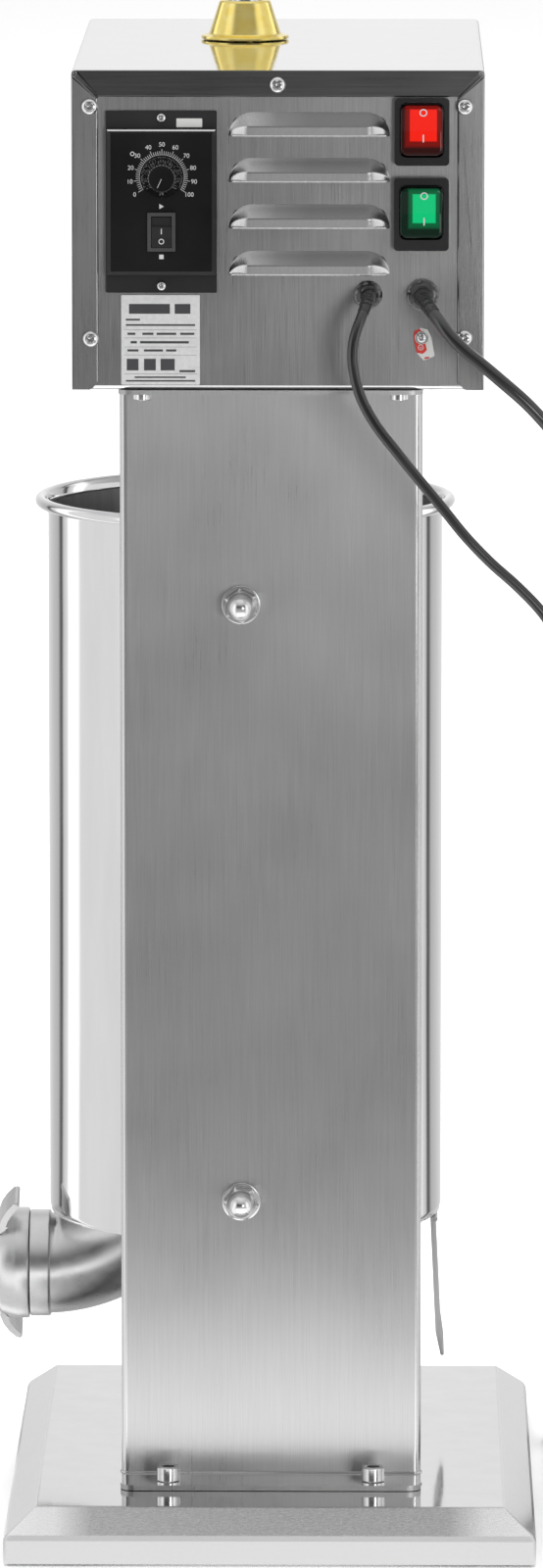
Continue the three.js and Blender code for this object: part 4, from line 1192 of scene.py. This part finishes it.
# ---- Ram ----
def make_lead_screw():
    low, high = box("lead_screw")
    at = middle("lead_screw")
    core, crest, pitch, lead, end, around = 8.1, 9.9, 5, 10, 4, 32
    shape = [(0.0, core), (0.22, core), (0.42, crest), (0.8, crest)]
    bm = bmesh.new()
    rows = []
    for turn in range(-2, int((high.z - low.z) / pitch) + 4):
        for share, radius in shape:
            row = []
            for step in range(around + 1):
                z = low.z + (turn + share) * pitch + lead * (step / around) - lead
                reach = radius if low.z + end < z < high.z - end else core
                z = min(max(z, low.z + end), high.z - end)
                angle = 2 * math.pi * step / around
                row.append(bm.verts.new((at.x + reach * math.cos(angle), at.y + reach * math.sin(angle), z)))
            rows.append(row)
    for first, second in zip(rows, rows[1:]):
        for step in range(around):
            bm.faces.new((first[step], first[step + 1], second[step + 1], second[step]))
    bmesh.ops.remove_doubles(bm, verts=bm.verts[:], dist=0.001)
    top, root = high.z, low.z + end + 0.1
    tip = [(0, top - 3.2), (1.2, top - 2.6), (2.6, top), (core - 1.2, top), (core, top - 1.2),
           (core, top - end - 0.1), (0, top - end - 0.1)]
    add_lathe(bm, tip, 32, place(at.x, at.y, 0))
    add_lathe(bm, [(0, low.z), (core, low.z), (core, root), (0, root)], 32, place(at.x, at.y, 0))
    piece("screw_thread", bm, "thread", "ram", "zinc", "lead_screw", sharp=60)


def make_piston():
    low, high = box("piston_disc")
    at, valve, base = middle("piston_disc"), middle("air_valve"), low.z
    rise = high.z - low.z - 8
    plate = [(0, 0), (104.5, 0), (107.4, 0.5), (108.5, 2), (108.5, 5.6), (102, 5.6), (102, 18.4),
             (108.5, 18.4), (108.5, rise - 1.6), (107.6, rise - 0.4), (106, rise), (92, rise),
             (90.5, rise - 1), (40, rise - 1), (37.5, rise), (25.5, rise + 7.3), (24, rise + 8),
             (10.4, rise + 8), (10.4, 7.6), (0, 7.6)]
    disc = lathed("piston_plate", plate, "nylon", "ram", "nylon", "piston_disc", at=place(at.x, at.y, base),
                  segments=96)
    hole = bmesh.new()
    add_lathe(hole, [(0, -5), (5.5, -5), (5.5, 40), (0, 40)], 32, place(valve.x, valve.y, base))
    cut_away(disc, hole)
    lip = [(103, 0), (108.2, 0), (109.1, 1.2), (109.4, 3), (108.9, 4.6), (107.8, 6), (108.9, 7.4), (109.4, 9),
           (109.1, 10.8), (108.2, 12), (103, 12)]
    lathed("seal_ring", lip, "silicone", "ram", "silicone", "piston_seal",
           at=place(at.x, at.y, box("piston_seal")[1].z - 12), segments=96)
    low, high = box("air_valve")
    tall = high.z - low.z
    stem = [(0, 0), (8.4, 0), (9, 0.5), (9, 2), (5.6, 2.3), (5, 3), (5, tall - 4), (5.4, tall - 3.5),
            (9, tall - 3.2), (8.8, tall - 1.6), (7.4, tall - 0.6), (4, tall), (0, tall)]
    lathed("valve_stem", stem, "silicone", "air_valve", "silicone", "air_valve",
           at=place(valve.x, valve.y, low.z))


# ---- Head ----
def make_head():
    low, high = box("head_cover")
    rear, front = low.y, high.y
    sheet, flange, gap, corner = 1.5, 14.4, 0.35, 2.4
    outer = softened([(low.x, low.z), (low.x, high.z), (high.x, high.z), (high.x, low.z)], corner, False, 6)
    inner = softened([(low.x + sheet, low.z), (low.x + sheet, high.z - sheet),
                      (high.x - sheet, high.z - sheet), (high.x - sheet, low.z)], 1.0, False, 6)
    bm = bmesh.new()
    add_prism(bm, outer + inner[::-1], -front + 1.2, -rear - 1.2, 0, OUT)
    plate = softened(rectangle((low.x, low.z), (high.x, high.z)), [0.3, 0.3, corner, corner], steps=6)
    add_prism(bm, plate, -front, -front + sheet, 1.1, OUT, 3)
    top, under, fold = high.z - corner + gap, high.z - flange, flange - gap
    strip = [(low.x + corner, top), (low.x + corner, high.z), (high.x - corner, high.z),
             (high.x - corner, top), (high.x - fold, under), (low.x + fold, under)]
    add_prism(bm, softened(strip, 0.3, steps=2), -rear - sheet, -rear, 0.9, OUT, 3)
    top, under = high.z - corner - 2 * gap, high.z - flange - 2 * gap
    for edge, into in ((low.x, 1), (high.x, -1)):
        side = [(edge, low.z), (edge, top), (edge + into * corner, top), (edge + into * flange, under),
                (edge + into * flange, low.z + 4), (edge + into * (flange - 3.5), low.z + 0.6),
                (edge + into * (flange - 5), low.z)]
        add_prism(bm, softened(side, 0.3, steps=2), -rear - sheet, -rear, 0.9, OUT, 3)

    def look(at, normal):
        if normal.z > 0.8 and at.z > high.z - 1:
            return 1
        # the strip under the top on the control side takes the painted shade
        if at.y < rear + 2 * sheet and at.z > high.z - flange - 0.1 and low.x + 8 < at.x < high.x - 8:
            return 2
        # the outer bends on the control side take the polished steel, brighter and smoother than the cover:
        # partly a smoother finish, partly a painted highlight
        outward = min(at.x - low.x, high.x - at.x) < 1.5
        return 3 if outward and abs(normal.x) > 0.25 and normal.y < -0.25 else 0

    paint(bm, look)
    looks = ["cover_steel", "top_sheet", "brushed_painted_shade", "polished"]
    piece("cover", bm, looks, "frame", "brushed", "head_cover")


def make_guide_cap():
    _, high = box("guide_cap")
    at, top = middle("guide_cap"), high.z
    brim, cone = top - 21.7, top - 19
    foot = [(10.6, -4.3), (16, -4.3), (16, 0), (23.6, 0), (24.5, 0.4), (24.7, 1.2), (24.3, 2), (21.2, 2.5),
            (20.4, 2.9)]
    profile = [(radius, brim + height) for radius, height in foot]
    profile += [(20, cone + 0.7), (14.5, top - 1.3), (14.1, top - 0.5), (13.2, top), (11.4, top),
                (10.6, top - 0.8)]
    lathed("cap", profile, "brass", "frame", "brass", "guide_cap", at=place(at.x, at.y, 0), segments=96)


# ---- Rear panel ----
LOUVRE_LEFT, LOUVRE_RIGHT, LOUVRE_RISE, LOUVRE_OUT = -22.6, 64.7, 12.8, 6
LOUVRE_LIPS = (780.5, 755.6, 730.4, 705)
PANEL_SCREWS = [f"panel_screw_{name}" for name in ("top", "upper_left", "upper_right", "lower_left",
                                                   "lower_right")]


def across_louvre(step, steps, inset=0.0):
    """A place along a louvre, closer together towards its ends, and how far that is from the nearer end."""
    share = 0.5 - 0.5 * math.cos(math.pi * step / steps)
    x = LOUVRE_LEFT + inset + (LOUVRE_RIGHT - LOUVRE_LEFT - 2 * inset) * share
    return x, max(0.0, min(x - LOUVRE_LEFT, LOUVRE_RIGHT - x)) / LOUVRE_RISE


def arched(inward):
    """The height of a quarter circle, as a share of its radius, at a share of the way in from its end."""
    return math.sqrt(max(0.0, 1 - (1 - min(1.0, inward)) ** 2))


def louvre_points(lip, out, face):
    """A pressed louvre: a quarter bowl at each end, a slope, then upright down to its open lower lip."""
    columns, rows, upright = 56, 16, 7 / 16
    points, faces, shaded = [], [], []
    for column in range(columns + 1):
        x, inward = across_louvre(column, columns)
        for row in range(rows + 1):
            up = row / rows
            slope = max(0.0, (up - upright) / (1 - upright))
            crest = (1 - slope) ** 1.15 - 0.1 * max(0.0, 1 - up / upright)
            height = out * min(1.0, 1.2 * inward) ** 0.9 * crest
            points.append((x, face - 0.02 - height, lip + LOUVRE_RISE * arched(inward) * up))
    for column in range(columns):
        for row in range(rows):
            a = column * (rows + 1) + row
            faces.append((a, a + 1, a + rows + 2, a + rows + 1))
            # faces on the slope above the upright part take the painted shade
            shaded.append((row + 0.5) / rows > upright)
    return points, faces, shaded


def panel_holes():
    """The outlines of everything that goes through the panel."""
    holes = []
    for node, half_x, half_z in (("speed_controller", 27, 38), ("power_frame", 12, 15.5),
                                 ("direction_frame", 12, 15.5)):
        holes.append(about(middle(node), half_x, half_z))
    earth = earth_place()
    rounds = [(middle("gland_pedal"), 5.6, 24), (middle("gland_mains"), 6.6, 24), (earth, 2.6, 24)]
    rounds += [(middle(node), 3, 20) for node in PANEL_SCREWS]
    holes += [circle(radius, count, (at.x, at.z)) for at, radius, count in rounds]
    for lip in LOUVRE_LIPS:
        slot = rectangle((LOUVRE_LEFT + 2, lip + 0.4), (LOUVRE_RIGHT - 2, lip + LOUVRE_RISE - 2.5))
        holes.append(softened(slot, [1, 1, 8, 8], steps=5))
    return holes


def make_panel():
    low, high = box("rear_panel")
    face, foot = low.y + 6, low.z + 2.2
    back = face + 1.5
    bm = bmesh.new()
    add_holed(bm, rectangle((low.x, foot), (high.x, high.z)), panel_holes(), -back, -face, OUT)
    flat = len(bm.faces)
    bend = [(face, foot), (face + 0.5, low.z + 0.9), (face + 1.6, low.z + 0.1), (face + 7, low.z),
            (face + 7, low.z + 1.4), (back, foot)]
    add_prism(bm, bend, low.x, high.x, 0, ACROSS)
    # The foot's bend takes the polished steel, brighter and smoother than the panel: partly a smoother finish,
    # partly a painted highlight
    mark(bm, flat, 3)
    for lip in LOUVRE_LIPS:
        points, faces, shaded = louvre_points(lip, LOUVRE_OUT - 0.1, face)
        flat = len(bm.faces)
        add_solid_sheet(bm, points, faces, 0.9)
        mark(bm, flat, 1)
        # the upper slope takes the painted shade material, the rest the pressed steel
        for index, dark in enumerate(shaded):
            bm.faces[flat + index].material_index = 2 if dark else 1
    looks = ["panel_steel", "pressed", "painted_shade_steel", "polished"]
    piece("panel", bm, looks, "frame", "brushed", "rear_panel", sharp=50)

    # A painted highlight along each louvre's opening: a thin tube for the lip's edge, coloured bright steel
    bm = bmesh.new()
    for lip in LOUVRE_LIPS:
        line = []
        for step in range(41):
            x, inward = across_louvre(step, 40, 0.4)
            line.append((x, face - (LOUVRE_OUT - 0.5) * arched(inward) ** 0.8, lip + 0.25))
        add_tube(bm, line, 0.42, 8)
    piece("louvre_edges", bm, "weld", "frame", "brushed")

    for node in PANEL_SCREWS:
        at, bottom = middle(node), box(node)[0].y
        turn = OUT @ Matrix.Rotation(RNG.uniform(0, 1.5), 4, "Z")
        lathed(f"{node}_head", pan_head(4.5, 3, 2.3, 6), "zinc", "frame", "zinc", node,
               at=place(at.x, bottom + 3, at.z, turn))


def earth_place():
    """Where the earth screw is: its head stands furthest out, at the tag's wide end."""
    low, high = box("earth_terminal")
    return Vector((low.x + 3.6, (low.y + high.y) / 2, high.z - 5.2))


def make_rating_plate():
    """A plate whose plain bars and rules stand in for the wording, in shares of its width and height."""
    low, high = box("rating_plate")
    wide, tall = high.x - low.x, high.z - low.z
    bm = bmesh.new()
    outline = softened(rectangle((low.x, low.z), (high.x, high.z)), 0.7)
    add_prism(bm, outline, -high.y, -low.y - 0.05, 0.1, OUT, 1)
    piece("plate", bm, "label", "frame", "label", "rating_plate")
    rows = [  # each row's foot, its height, and its bars from end to end
        (0.79, 0.11, [(0.10, 0.62), (0.68, 0.88)]), (0.715, 0.02, [(0.06, 0.24)]),
        (0.655, 0.02, [(0.06, 0.94)]),
        *((z, 0.003, [(0.04, 0.96)]) for z in (0.61, 0.52, 0.42, 0.33, 0.12)),
        (0.555, 0.025, [(0.08, 0.18), (0.27, 0.41), (0.45, 0.70), (0.75, 0.93)]),
        (0.46, 0.027, [(0.12, 0.20), (0.24, 0.86)]),
        (0.37, 0.025, [(0.08, 0.22), (0.29, 0.53), (0.57, 0.70)]),
        (0.16, 0.13, [(0.07, 0.22), (0.29, 0.44), (0.50, 0.68)]), (0.14, 0.025, [(0.74, 0.94)]),
        (0.075, 0.018, [(0.17, 0.82)]), (0.035, 0.018, [(0.06, 0.94)]),
    ]
    front = -low.y - 0.06
    bm = bmesh.new()
    for z, height, bars in rows:
        for left, right in bars:
            bar = rectangle((low.x + left * wide, low.z + z * tall), (low.x + right * wide,
                                                                      low.z + (z + height) * tall))
            add_prism(bm, bar, front - 0.05, front + 0.05, 0, OUT)
    piece("plate_print", bm, "ink", "frame", "label")


def make_earth():
    """The earth screw on its washer, over a small tag that is part red."""
    front = box("earth_terminal")[0].y
    at = earth_place()
    ground = place(at.x, front + 3.8, at.z, OUT @ Matrix.Rotation(math.radians(13), 4, "Z"))
    back, face, ink = 0.2, 0.8, 0.06
    shape = [(-4.3, 1), (-3.2, 4.2), (0.6, 5.4), (4.2, 3.6), (5.2, -1), (4.8, -11.4), (-1.8, -12.4),
             (-4.4, -7.5)]
    bm = bmesh.new()
    add_prism(bm, softened(shape, 0.9), back, face, 0.15, ground, 1)
    piece("tag", bm, "tag_white", "frame", "red_tag", "earth_terminal")
    red = [(-4.3, 1), (-3.2, 4.2), (0.2, 5.3), (1.2, 1), (1.4, -7.2), (-1.2, -8.8), (-4.4, -7.5)]
    bm = bmesh.new()
    add_prism(bm, softened(red, 0.8), face, face + ink, 0, ground, 1)
    add_prism(bm, rectangle((-1, -11.8), (1.6, -10.9)), face, face + ink, 0, ground)
    piece("tag_red", bm, "red_tag", "frame", "red_tag")
    sign = ground @ Matrix.Translation((-1.6, -5.1, face + ink))
    bm = bmesh.new()
    add_lathe(bm, [(1.25, 0), (1.55, 0), (1.55, 0.1), (1.25, 0.1)], 32, sign)
    for wide, drop in ((1.5, 0.1), (1.0, -0.35), (0.5, -0.8)):
        add_block(bm, (-wide / 2, drop - 0.1, 0), (wide / 2, drop + 0.1, 0.1), 0.0, 1, sign)
    piece("tag_symbol", bm, "tag_white", "frame", "red_tag")
    washer = [(1.5, 0), (3.4, 0), (3.6, 0.2), (3.6, 0.6), (3.4, 0.8), (1.5, 0.8)]
    bm = bmesh.new()
    add_lathe(bm, washer, 32, place(at.x, front + 2.9, at.z, OUT))
    turn = place(at.x, front + 2.1, at.z, OUT @ Matrix.Rotation(0.6, 4, "Z"))
    add_lathe(bm, pan_head(2.7, 2.1, 1.9, 6), 48, turn)
    piece("earth_screw", bm, "zinc", "frame", "zinc")


def make_glands():
    for name, bore, nut, nose in (("pedal", 3.3, 15.3, 5.0), ("mains", 3.9, 17.5, 5.8)):
        node = f"gland_{name}"
        low, high = box(node)
        at = middle(node)
        behind = 8  # how far the gland's thread reaches back from the panel's face
        face = high.y - behind
        length, half, flats = face - low.y, nut / 2, hexagon(nut * 0.866)
        profile = [
            (bore, -behind), (nose + 0.2, -behind), (nose + 0.2, 0.3), (half, 0.3), (half, 0.9),
            (half - 0.5, 1.3), (flats, 1.5), (flats, 4.6), (half - 1.4, 5.2), (nose + 1.1, 6.4),
            (nose + 0.7, 8.2), (nose + 0.1, length - 0.9), (nose - 0.5, length), (bore + 0.9, length),
            (bore, length - 1.2),
        ]
        turn = OUT @ Matrix.Rotation(0.26, 4, "Z")
        lathed(f"{node}_body", profile, "gland", "frame", "black_plastic", node,
               at=place(at.x, face, at.z, turn))


# ---- Controls ----
def lettering(bm, text, size, turn):
    """Adds generic characters, upright in X and Y, facing +Z."""
    curve = bpy.data.curves.new("text", "FONT")
    curve.body, curve.size, curve.align_x, curve.align_y = text, size, "CENTER", "CENTER"
    curve.extrude = 0.04
    holder = bpy.data.objects.new("text", curve)
    bpy.context.scene.collection.objects.link(holder)
    mesh = bpy.data.meshes.new_from_object(holder.evaluated_get(bpy.context.evaluated_depsgraph_get()))
    mesh.transform(turn)
    bm.from_mesh(mesh)
    bpy.data.objects.remove(holder)


def rocker_marks(name, marks, size, body):
    """The I and O marks on a rocker, each (kind, place, lean in degrees)."""
    sunk, proud = -0.3, 0.1
    bm = bmesh.new()
    for kind, at, lean in marks:
        turn = place(*at, OUT @ Matrix.Rotation(math.radians(lean), 4, "X"))
        if kind == "O":
            add_lathe(bm, [(0.7 * size, sunk), (size, sunk), (size, proud), (0.7 * size, proud)], 40, turn)
        else:
            add_block(bm, (-0.17 * size, -size, sunk), (0.17 * size, size, proud), 0.0, 1, turn)
    piece(name, bm, "white_ink", body, "label")


def rounded_rows(half_x, half_z, corner, rows=25):
    """A rounded rectangle's points in level rows: up its right side, then down its left."""
    right = []
    for step in range(rows):
        z = half_z * math.sin(math.pi * (step / (rows - 1) - 0.5))
        fall = corner - min(corner, half_z - abs(z))
        right.append((half_x - corner + math.sqrt(corner * corner - fall * fall), z))
    return right + [(-x, z) for x, z in reversed(right)]


def add_lens(bm, centre, half, corner, front, back):
    """Adds a rocker's button with rounded corners. front and back give its depth at a height."""
    rings = []
    for inset, sink in ((1.6, None), (0, 3.2), (0, 1.6), (0.3, 0.5), (0.9, 0.12), (1.9, 0)):
        ring = []
        for x, z in rounded_rows(half[0] - inset, half[1] - inset, corner - inset):
            y = back(z) if sink is None else front(z) + sink
            ring.append(bm.verts.new((centre.x + x, y, centre.z + z)))
        rings.append(ring)
    bridge(bm, rings)
    count = len(rings[0])
    for ring in (rings[0], rings[-1]):
        for row in range(count // 2 - 1):
            bm.faces.new((ring[row], ring[row + 1], ring[count - 2 - row], ring[count - 1 - row]))


def make_bezel(name, well, floor_y):
    """A rocker's glossy frame round its well, and the closed body behind the panel."""
    low, high = box(f"{name}_frame")
    at = middle(f"{name}_frame")
    rim = softened(about(at, (high.x - low.x) / 2, (high.z - low.z) / 2), 2.6, steps=6)
    body = about(at, 11.8, 15.2)
    bm = bmesh.new()
    add_holed(bm, rim, [well], -low.y - 5.2, -low.y, OUT)
    add_holed(bm, body, [about(at, 11.2, 14.6)], -floor_y, -low.y - 5, OUT)
    add_prism(bm, softened(body, 1), -high.y, -floor_y + 0.1, 0.4, OUT)
    bezel = piece(f"{name}_bezel", bm, "gloss_black", "frame", "black_plastic", f"{name}_frame")
    edge_rounding(bezel, 0.8, 3)


def make_rocker(name, window_size, window_at, colour, edge):
    """A lit rocker in a glossy frame with a deeper lower lip."""
    low, high = box(f"{name}_rocker")
    reach, gap = 1.6, 0.5  # the button stands this much higher than its solid, with this gap round it
    well = rectangle((low.x - gap, low.z - 2 * gap), (high.x + gap, high.z + reach + 3 * gap))
    make_bezel(name, softened(well, 4.2, steps=6), high.y + 1)

    half = (high.z - low.z + reach) / 2
    centre = Vector((middle(f"{name}_frame").x, 0, low.z + half))
    dip, deep = 2.6, high.y

    def front(z):
        return low.y + dip * (1 - max(0.0, z) / half) - 0.4 * max(0.0, -z) / half

    def rear(z):
        return deep - (deep - low.y - dip - 4.5) * abs(z) / half

    bm = bmesh.new()
    add_lens(bm, centre, ((high.x - low.x) / 2, half), 4, front, rear)
    LOOKS[f"{name}_lens"] = lens_plastic(f"{name}_lens", edge, colour, window_size, window_at)
    slot = "red_lens" if name == "power" else "green_lens"
    piece(f"{name}_button", bm, f"{name}_lens", f"{name}_rocker", slot, f"{name}_rocker")
    marks = []
    for kind, height, lean in (("O", 6.9, 10.7), ("I", -7.2, -1.7)):
        z = window_at.z + height
        marks.append((kind, (window_at.x, front(z - centre.z), z), lean))
    rocker_marks(f"{name}_marks", marks, 2.1, f"{name}_rocker")


def make_switches():
    """The two lit rockers: the window's half size and middle, its colour and the colour round it."""
    lit = {
        "power": ((7.4, 8.8), (82.8, 786.8), (0.6, 0.008, 0.002), (0.02, 0.0015, 0.001)),
        "direction": ((6.3, 8.0), (83.3, 741.6), (0.0, 0.36, 0.12), (0.0015, 0.012, 0.006)),
    }
    for name, (half, (x, z), colour, edge) in lit.items():
        make_rocker(name, half, Vector((x, 0, z)), colour, edge)


def make_controller():
    low, high = box("speed_controller")
    at, knob, run = middle("speed_controller"), middle("speed_knob"), middle("run_rocker")
    panel = low.y + 7.5
    half_x, half_z = (high.x - low.x) / 2, (high.z - low.z) / 2
    block_x, block_z = half_x - 0.3, 39.75
    bm = bmesh.new()
    add_holed(bm, softened(about(at, half_x, half_z), 0.8), [about(at, 26, 37)], -panel + 0.3, -panel + 2.2,
              OUT)
    plate = piece("controller_plate", bm, "black_sheen", "frame", "black_plastic", "speed_controller")
    edge_rounding(plate, 0.3)

    wall, chamfer, shoulder = 2.5, 2.3, panel - 5.2
    # The outer part of the upper chamfer is coloured as a painted highlight; the rest stays black
    line = 0.42  # how much of the upper chamfer shines
    shine = shoulder + line * (low.y - shoulder)
    bm = bmesh.new()
    rings = []
    for inset, y in ((0, panel - 2.2), (0.1, shoulder), (line * chamfer, shine), (chamfer, low.y)):
        loop = softened(about(at, block_x - inset, block_z - inset), 0.5, steps=2)
        rings.append([bm.verts.new((x, y, z)) for x, z in loop])
    bridge(bm, rings)
    bm.faces.new(rings[0])
    hood = softened(about(at, block_x - chamfer, block_z - chamfer), 0.5, steps=2)
    holes = [circle(2.4, 24, (knob.x, knob.z)), about(run, 7.1, 10.3)]
    add_holed(bm, hood, holes, -low.y - wall, -low.y, OUT)

    def look(centre, normal):
        if not (normal.y < -0.2 and abs(normal.y) < 0.95):
            return 0
        if normal.z > 0.4:
            # painted highlight on the outer part of the upper chamfer
            return 1 if centre.y > shine else 0
        return 2 if normal.z < 0.4 else 0

    paint(bm, look)
    block = piece("controller_block", bm, ["black_face", "painted_highlight_edge", "black_sheen"], "frame",
                  "black_plastic")
    edge_rounding(block, 0.25)

    bm = bmesh.new()
    for z in (at.z + 45.7, at.z - 45.6):
        turn = place(at.x, panel - 2.2, z, OUT @ Matrix.Rotation(RNG.uniform(0, 1.5), 4, "Z"))
        add_lathe(bm, pan_head(2.6, 2, 1.6, 7), 48, turn)
    piece("controller_screws", bm, "zinc", "frame", "zinc")
    bm = bmesh.new()
    sticker = rectangle((at.x + 8.2, at.z + 40.6), (at.x + 22.2, at.z + 45.4))
    add_prism(bm, softened(sticker, 0.4), -panel + 2.15, -panel + 2.35, 0.05, OUT, 1)
    piece("controller_sticker", bm, "tag_white", "frame", "label")


def make_dial():
    """The dial's ticks and numbers, a round mark, and plain signs over and under the small rocker."""
    y = box("speed_controller")[0].y
    knob, run = middle("speed_knob"), middle("run_rocker")
    sweep, raised = 123, 0.07  # degrees either way from the top, and how thick the print is
    bm = bmesh.new()
    for tick, angle in enumerate(arc(-sweep, sweep, 51)):
        inner, outer, half = 12.2, 15.2 if tick % 5 == 0 else 14.1, 0.13
        turn = place(knob.x, y, knob.z, OUT @ Matrix.Rotation(-angle, 4, "Z"))
        add_block(bm, (-half, inner, -0.02), (half, outer, raised), 0.0, 1, turn)
    ring = [(knob.x + 12.1 * math.sin(a), y - 0.02, knob.z + 12.1 * math.cos(a))
            for a in arc(-sweep, sweep, 61)]
    add_tube(bm, ring, 0.1, 4)
    size, reach = 3.4, 17.6
    for index, angle in enumerate(arc(-sweep, sweep, 11)):
        turn = place(knob.x + reach * math.sin(angle), y - 0.03, knob.z + reach * math.cos(angle), OUT)
        lettering(bm, str(10 * index), size, turn)
    add_lathe(bm, [(0.75, 0), (1.2, 0), (1.2, raised), (0.75, raised)], 24,
              place(knob.x - 16, y, knob.z + 12.6, OUT))
    triangle = [(run.x - 1.1, run.z + 12.4), (run.x + 1.3, run.z + 13.8), (run.x - 1.1, run.z + 15.2)]
    square = rectangle((run.x - 1.2, run.z - 14.8), (run.x + 1.2, run.z - 12.4))
    for sign in (triangle, square):
        add_prism(bm, sign, -y, -y + raised, 0, OUT)
    piece("dial_marks", bm, "white_ink", "frame", "label")


def make_knob():
    low, high = box("speed_knob")
    at = middle("speed_knob")
    base = high.y - 3.3  # the skirt's foot, out from the shaft's end
    top, floor = base - low.y, base - low.y - 2.7
    facets, groove = 26, 0.3
    front = place(at.x, base, at.z, OUT)

    def ribbed(radius):
        return lambda angle: radius - groove * (math.cos(facets * angle) < -0.8)

    skirt = [(0, -3.2), (2, -3.2), (2, 0), (10.8, 0), (11.2, 0.5), (11.2, 1.5), (ribbed(10.9), 2.2),
             (ribbed(7.7), floor - 0.5), (7.2, floor), (0, floor)]
    lathed("knob_skirt", skirt, "knob", "speed_knob", "zinc", "speed_knob", at=front, segments=5 * facets,
           sharp=25)
    bm = bmesh.new()
    cap = [(0, floor), (6.9, floor), (6.9, top - 0.6), (6.4, top), (5.6, top), (5.4, top - 0.15),
           (0, top - 0.15)]
    add_lathe(bm, cap, 64, front)
    piece("knob_cap", bm, "black_face", "speed_knob", "black_plastic")
    bm = bmesh.new()
    turn = front @ Matrix.Rotation(math.radians(155), 4, "Z")
    add_block(bm, (-0.16, 0, top - 0.2), (0.16, 5.3, top - 0.05), 0.0, 1, turn)
    piece("knob_pointer", bm, "white_ink", "speed_knob", "label")


def make_run_rocker():
    low, high = box("run_rocker")
    at = middle("run_rocker")
    face = -box("speed_controller")[0].y
    bm = bmesh.new()
    add_holed(bm, softened(about(at, 7.6, 10.55), 0.5), [about(at, 5.6, 8.6)], face, face + 1.6, OUT)
    rim = piece("run_rocker_rim", bm, "rim_grey", "frame", "black_plastic")
    edge_rounding(rim, 0.6)
    front, deep = low.y, high.y
    side = [(front + 2.0, at.z + 8.3), (front + 1.9, at.z + 3.4), (front + 0.3, at.z + 3.0),
            (front + 0.9, at.z - 3), (front + 0.2, at.z - 8.3), (deep - 2, at.z - 8.3), (deep, at.z - 3),
            (deep, at.z + 3), (deep - 2, at.z + 8.3)]
    bm = bmesh.new()
    add_prism(bm, softened(side, [0.4, 0.8, 0.5, 6, 0.5, 0.5, 0.5, 0.5, 0.5]), at.x - 5.3, at.x + 5.3, 0.4,
              ACROSS)
    piece("run_button", bm, "black_sheen", "run_rocker", "black_plastic", "run_rocker")
    marks = [("I", (at.x, front + 0.6, at.z + 0.4), 5.7), ("O", (at.x, front + 0.6, at.z - 5.1), -7.5)]
    rocker_marks("run_marks", marks, 1.5, "run_rocker")


# ---- Everything together ----
CARRIED = {  # CAD nodes that keep their shape, by look
    "brushed_x": ("hanger_upper", "hanger_lower", "barrel_hook_upper", "barrel_hook_lower", "gear_plate",
                  "head_floor_plate"),
    "cast_iron": ("nut_bearing", "drive_gear"),
    "bronze": ("lead_nut",),
    "zinc": ("motor_pinion",),
    "motor_paint": ("gearbox", "motor"),
}


def carry_over():
    for look, nodes in CARRIED.items():
        for node in nodes:
            shown = bpy.data.objects[node]
            shown.data.materials.clear()
            shown.data.materials.append(LOOKS[look])
            edge_rounding(shown, 0.3)


make_camera()
LOOKS = make_materials()
make_mains_cord()
make_pedal_cord()
make_world()
make_floor()
make_lights()
make_base()
make_column()
make_column_fasteners()
make_barrel()
make_outlet()
make_wing_nut()
make_leg()
make_lead_screw()
make_piston()
make_head()
make_guide_cap()
make_panel()
make_rating_plate()
make_earth()
make_glands()
make_controller()
make_dial()
make_knob()
make_run_rocker()
make_switches()
carry_over()
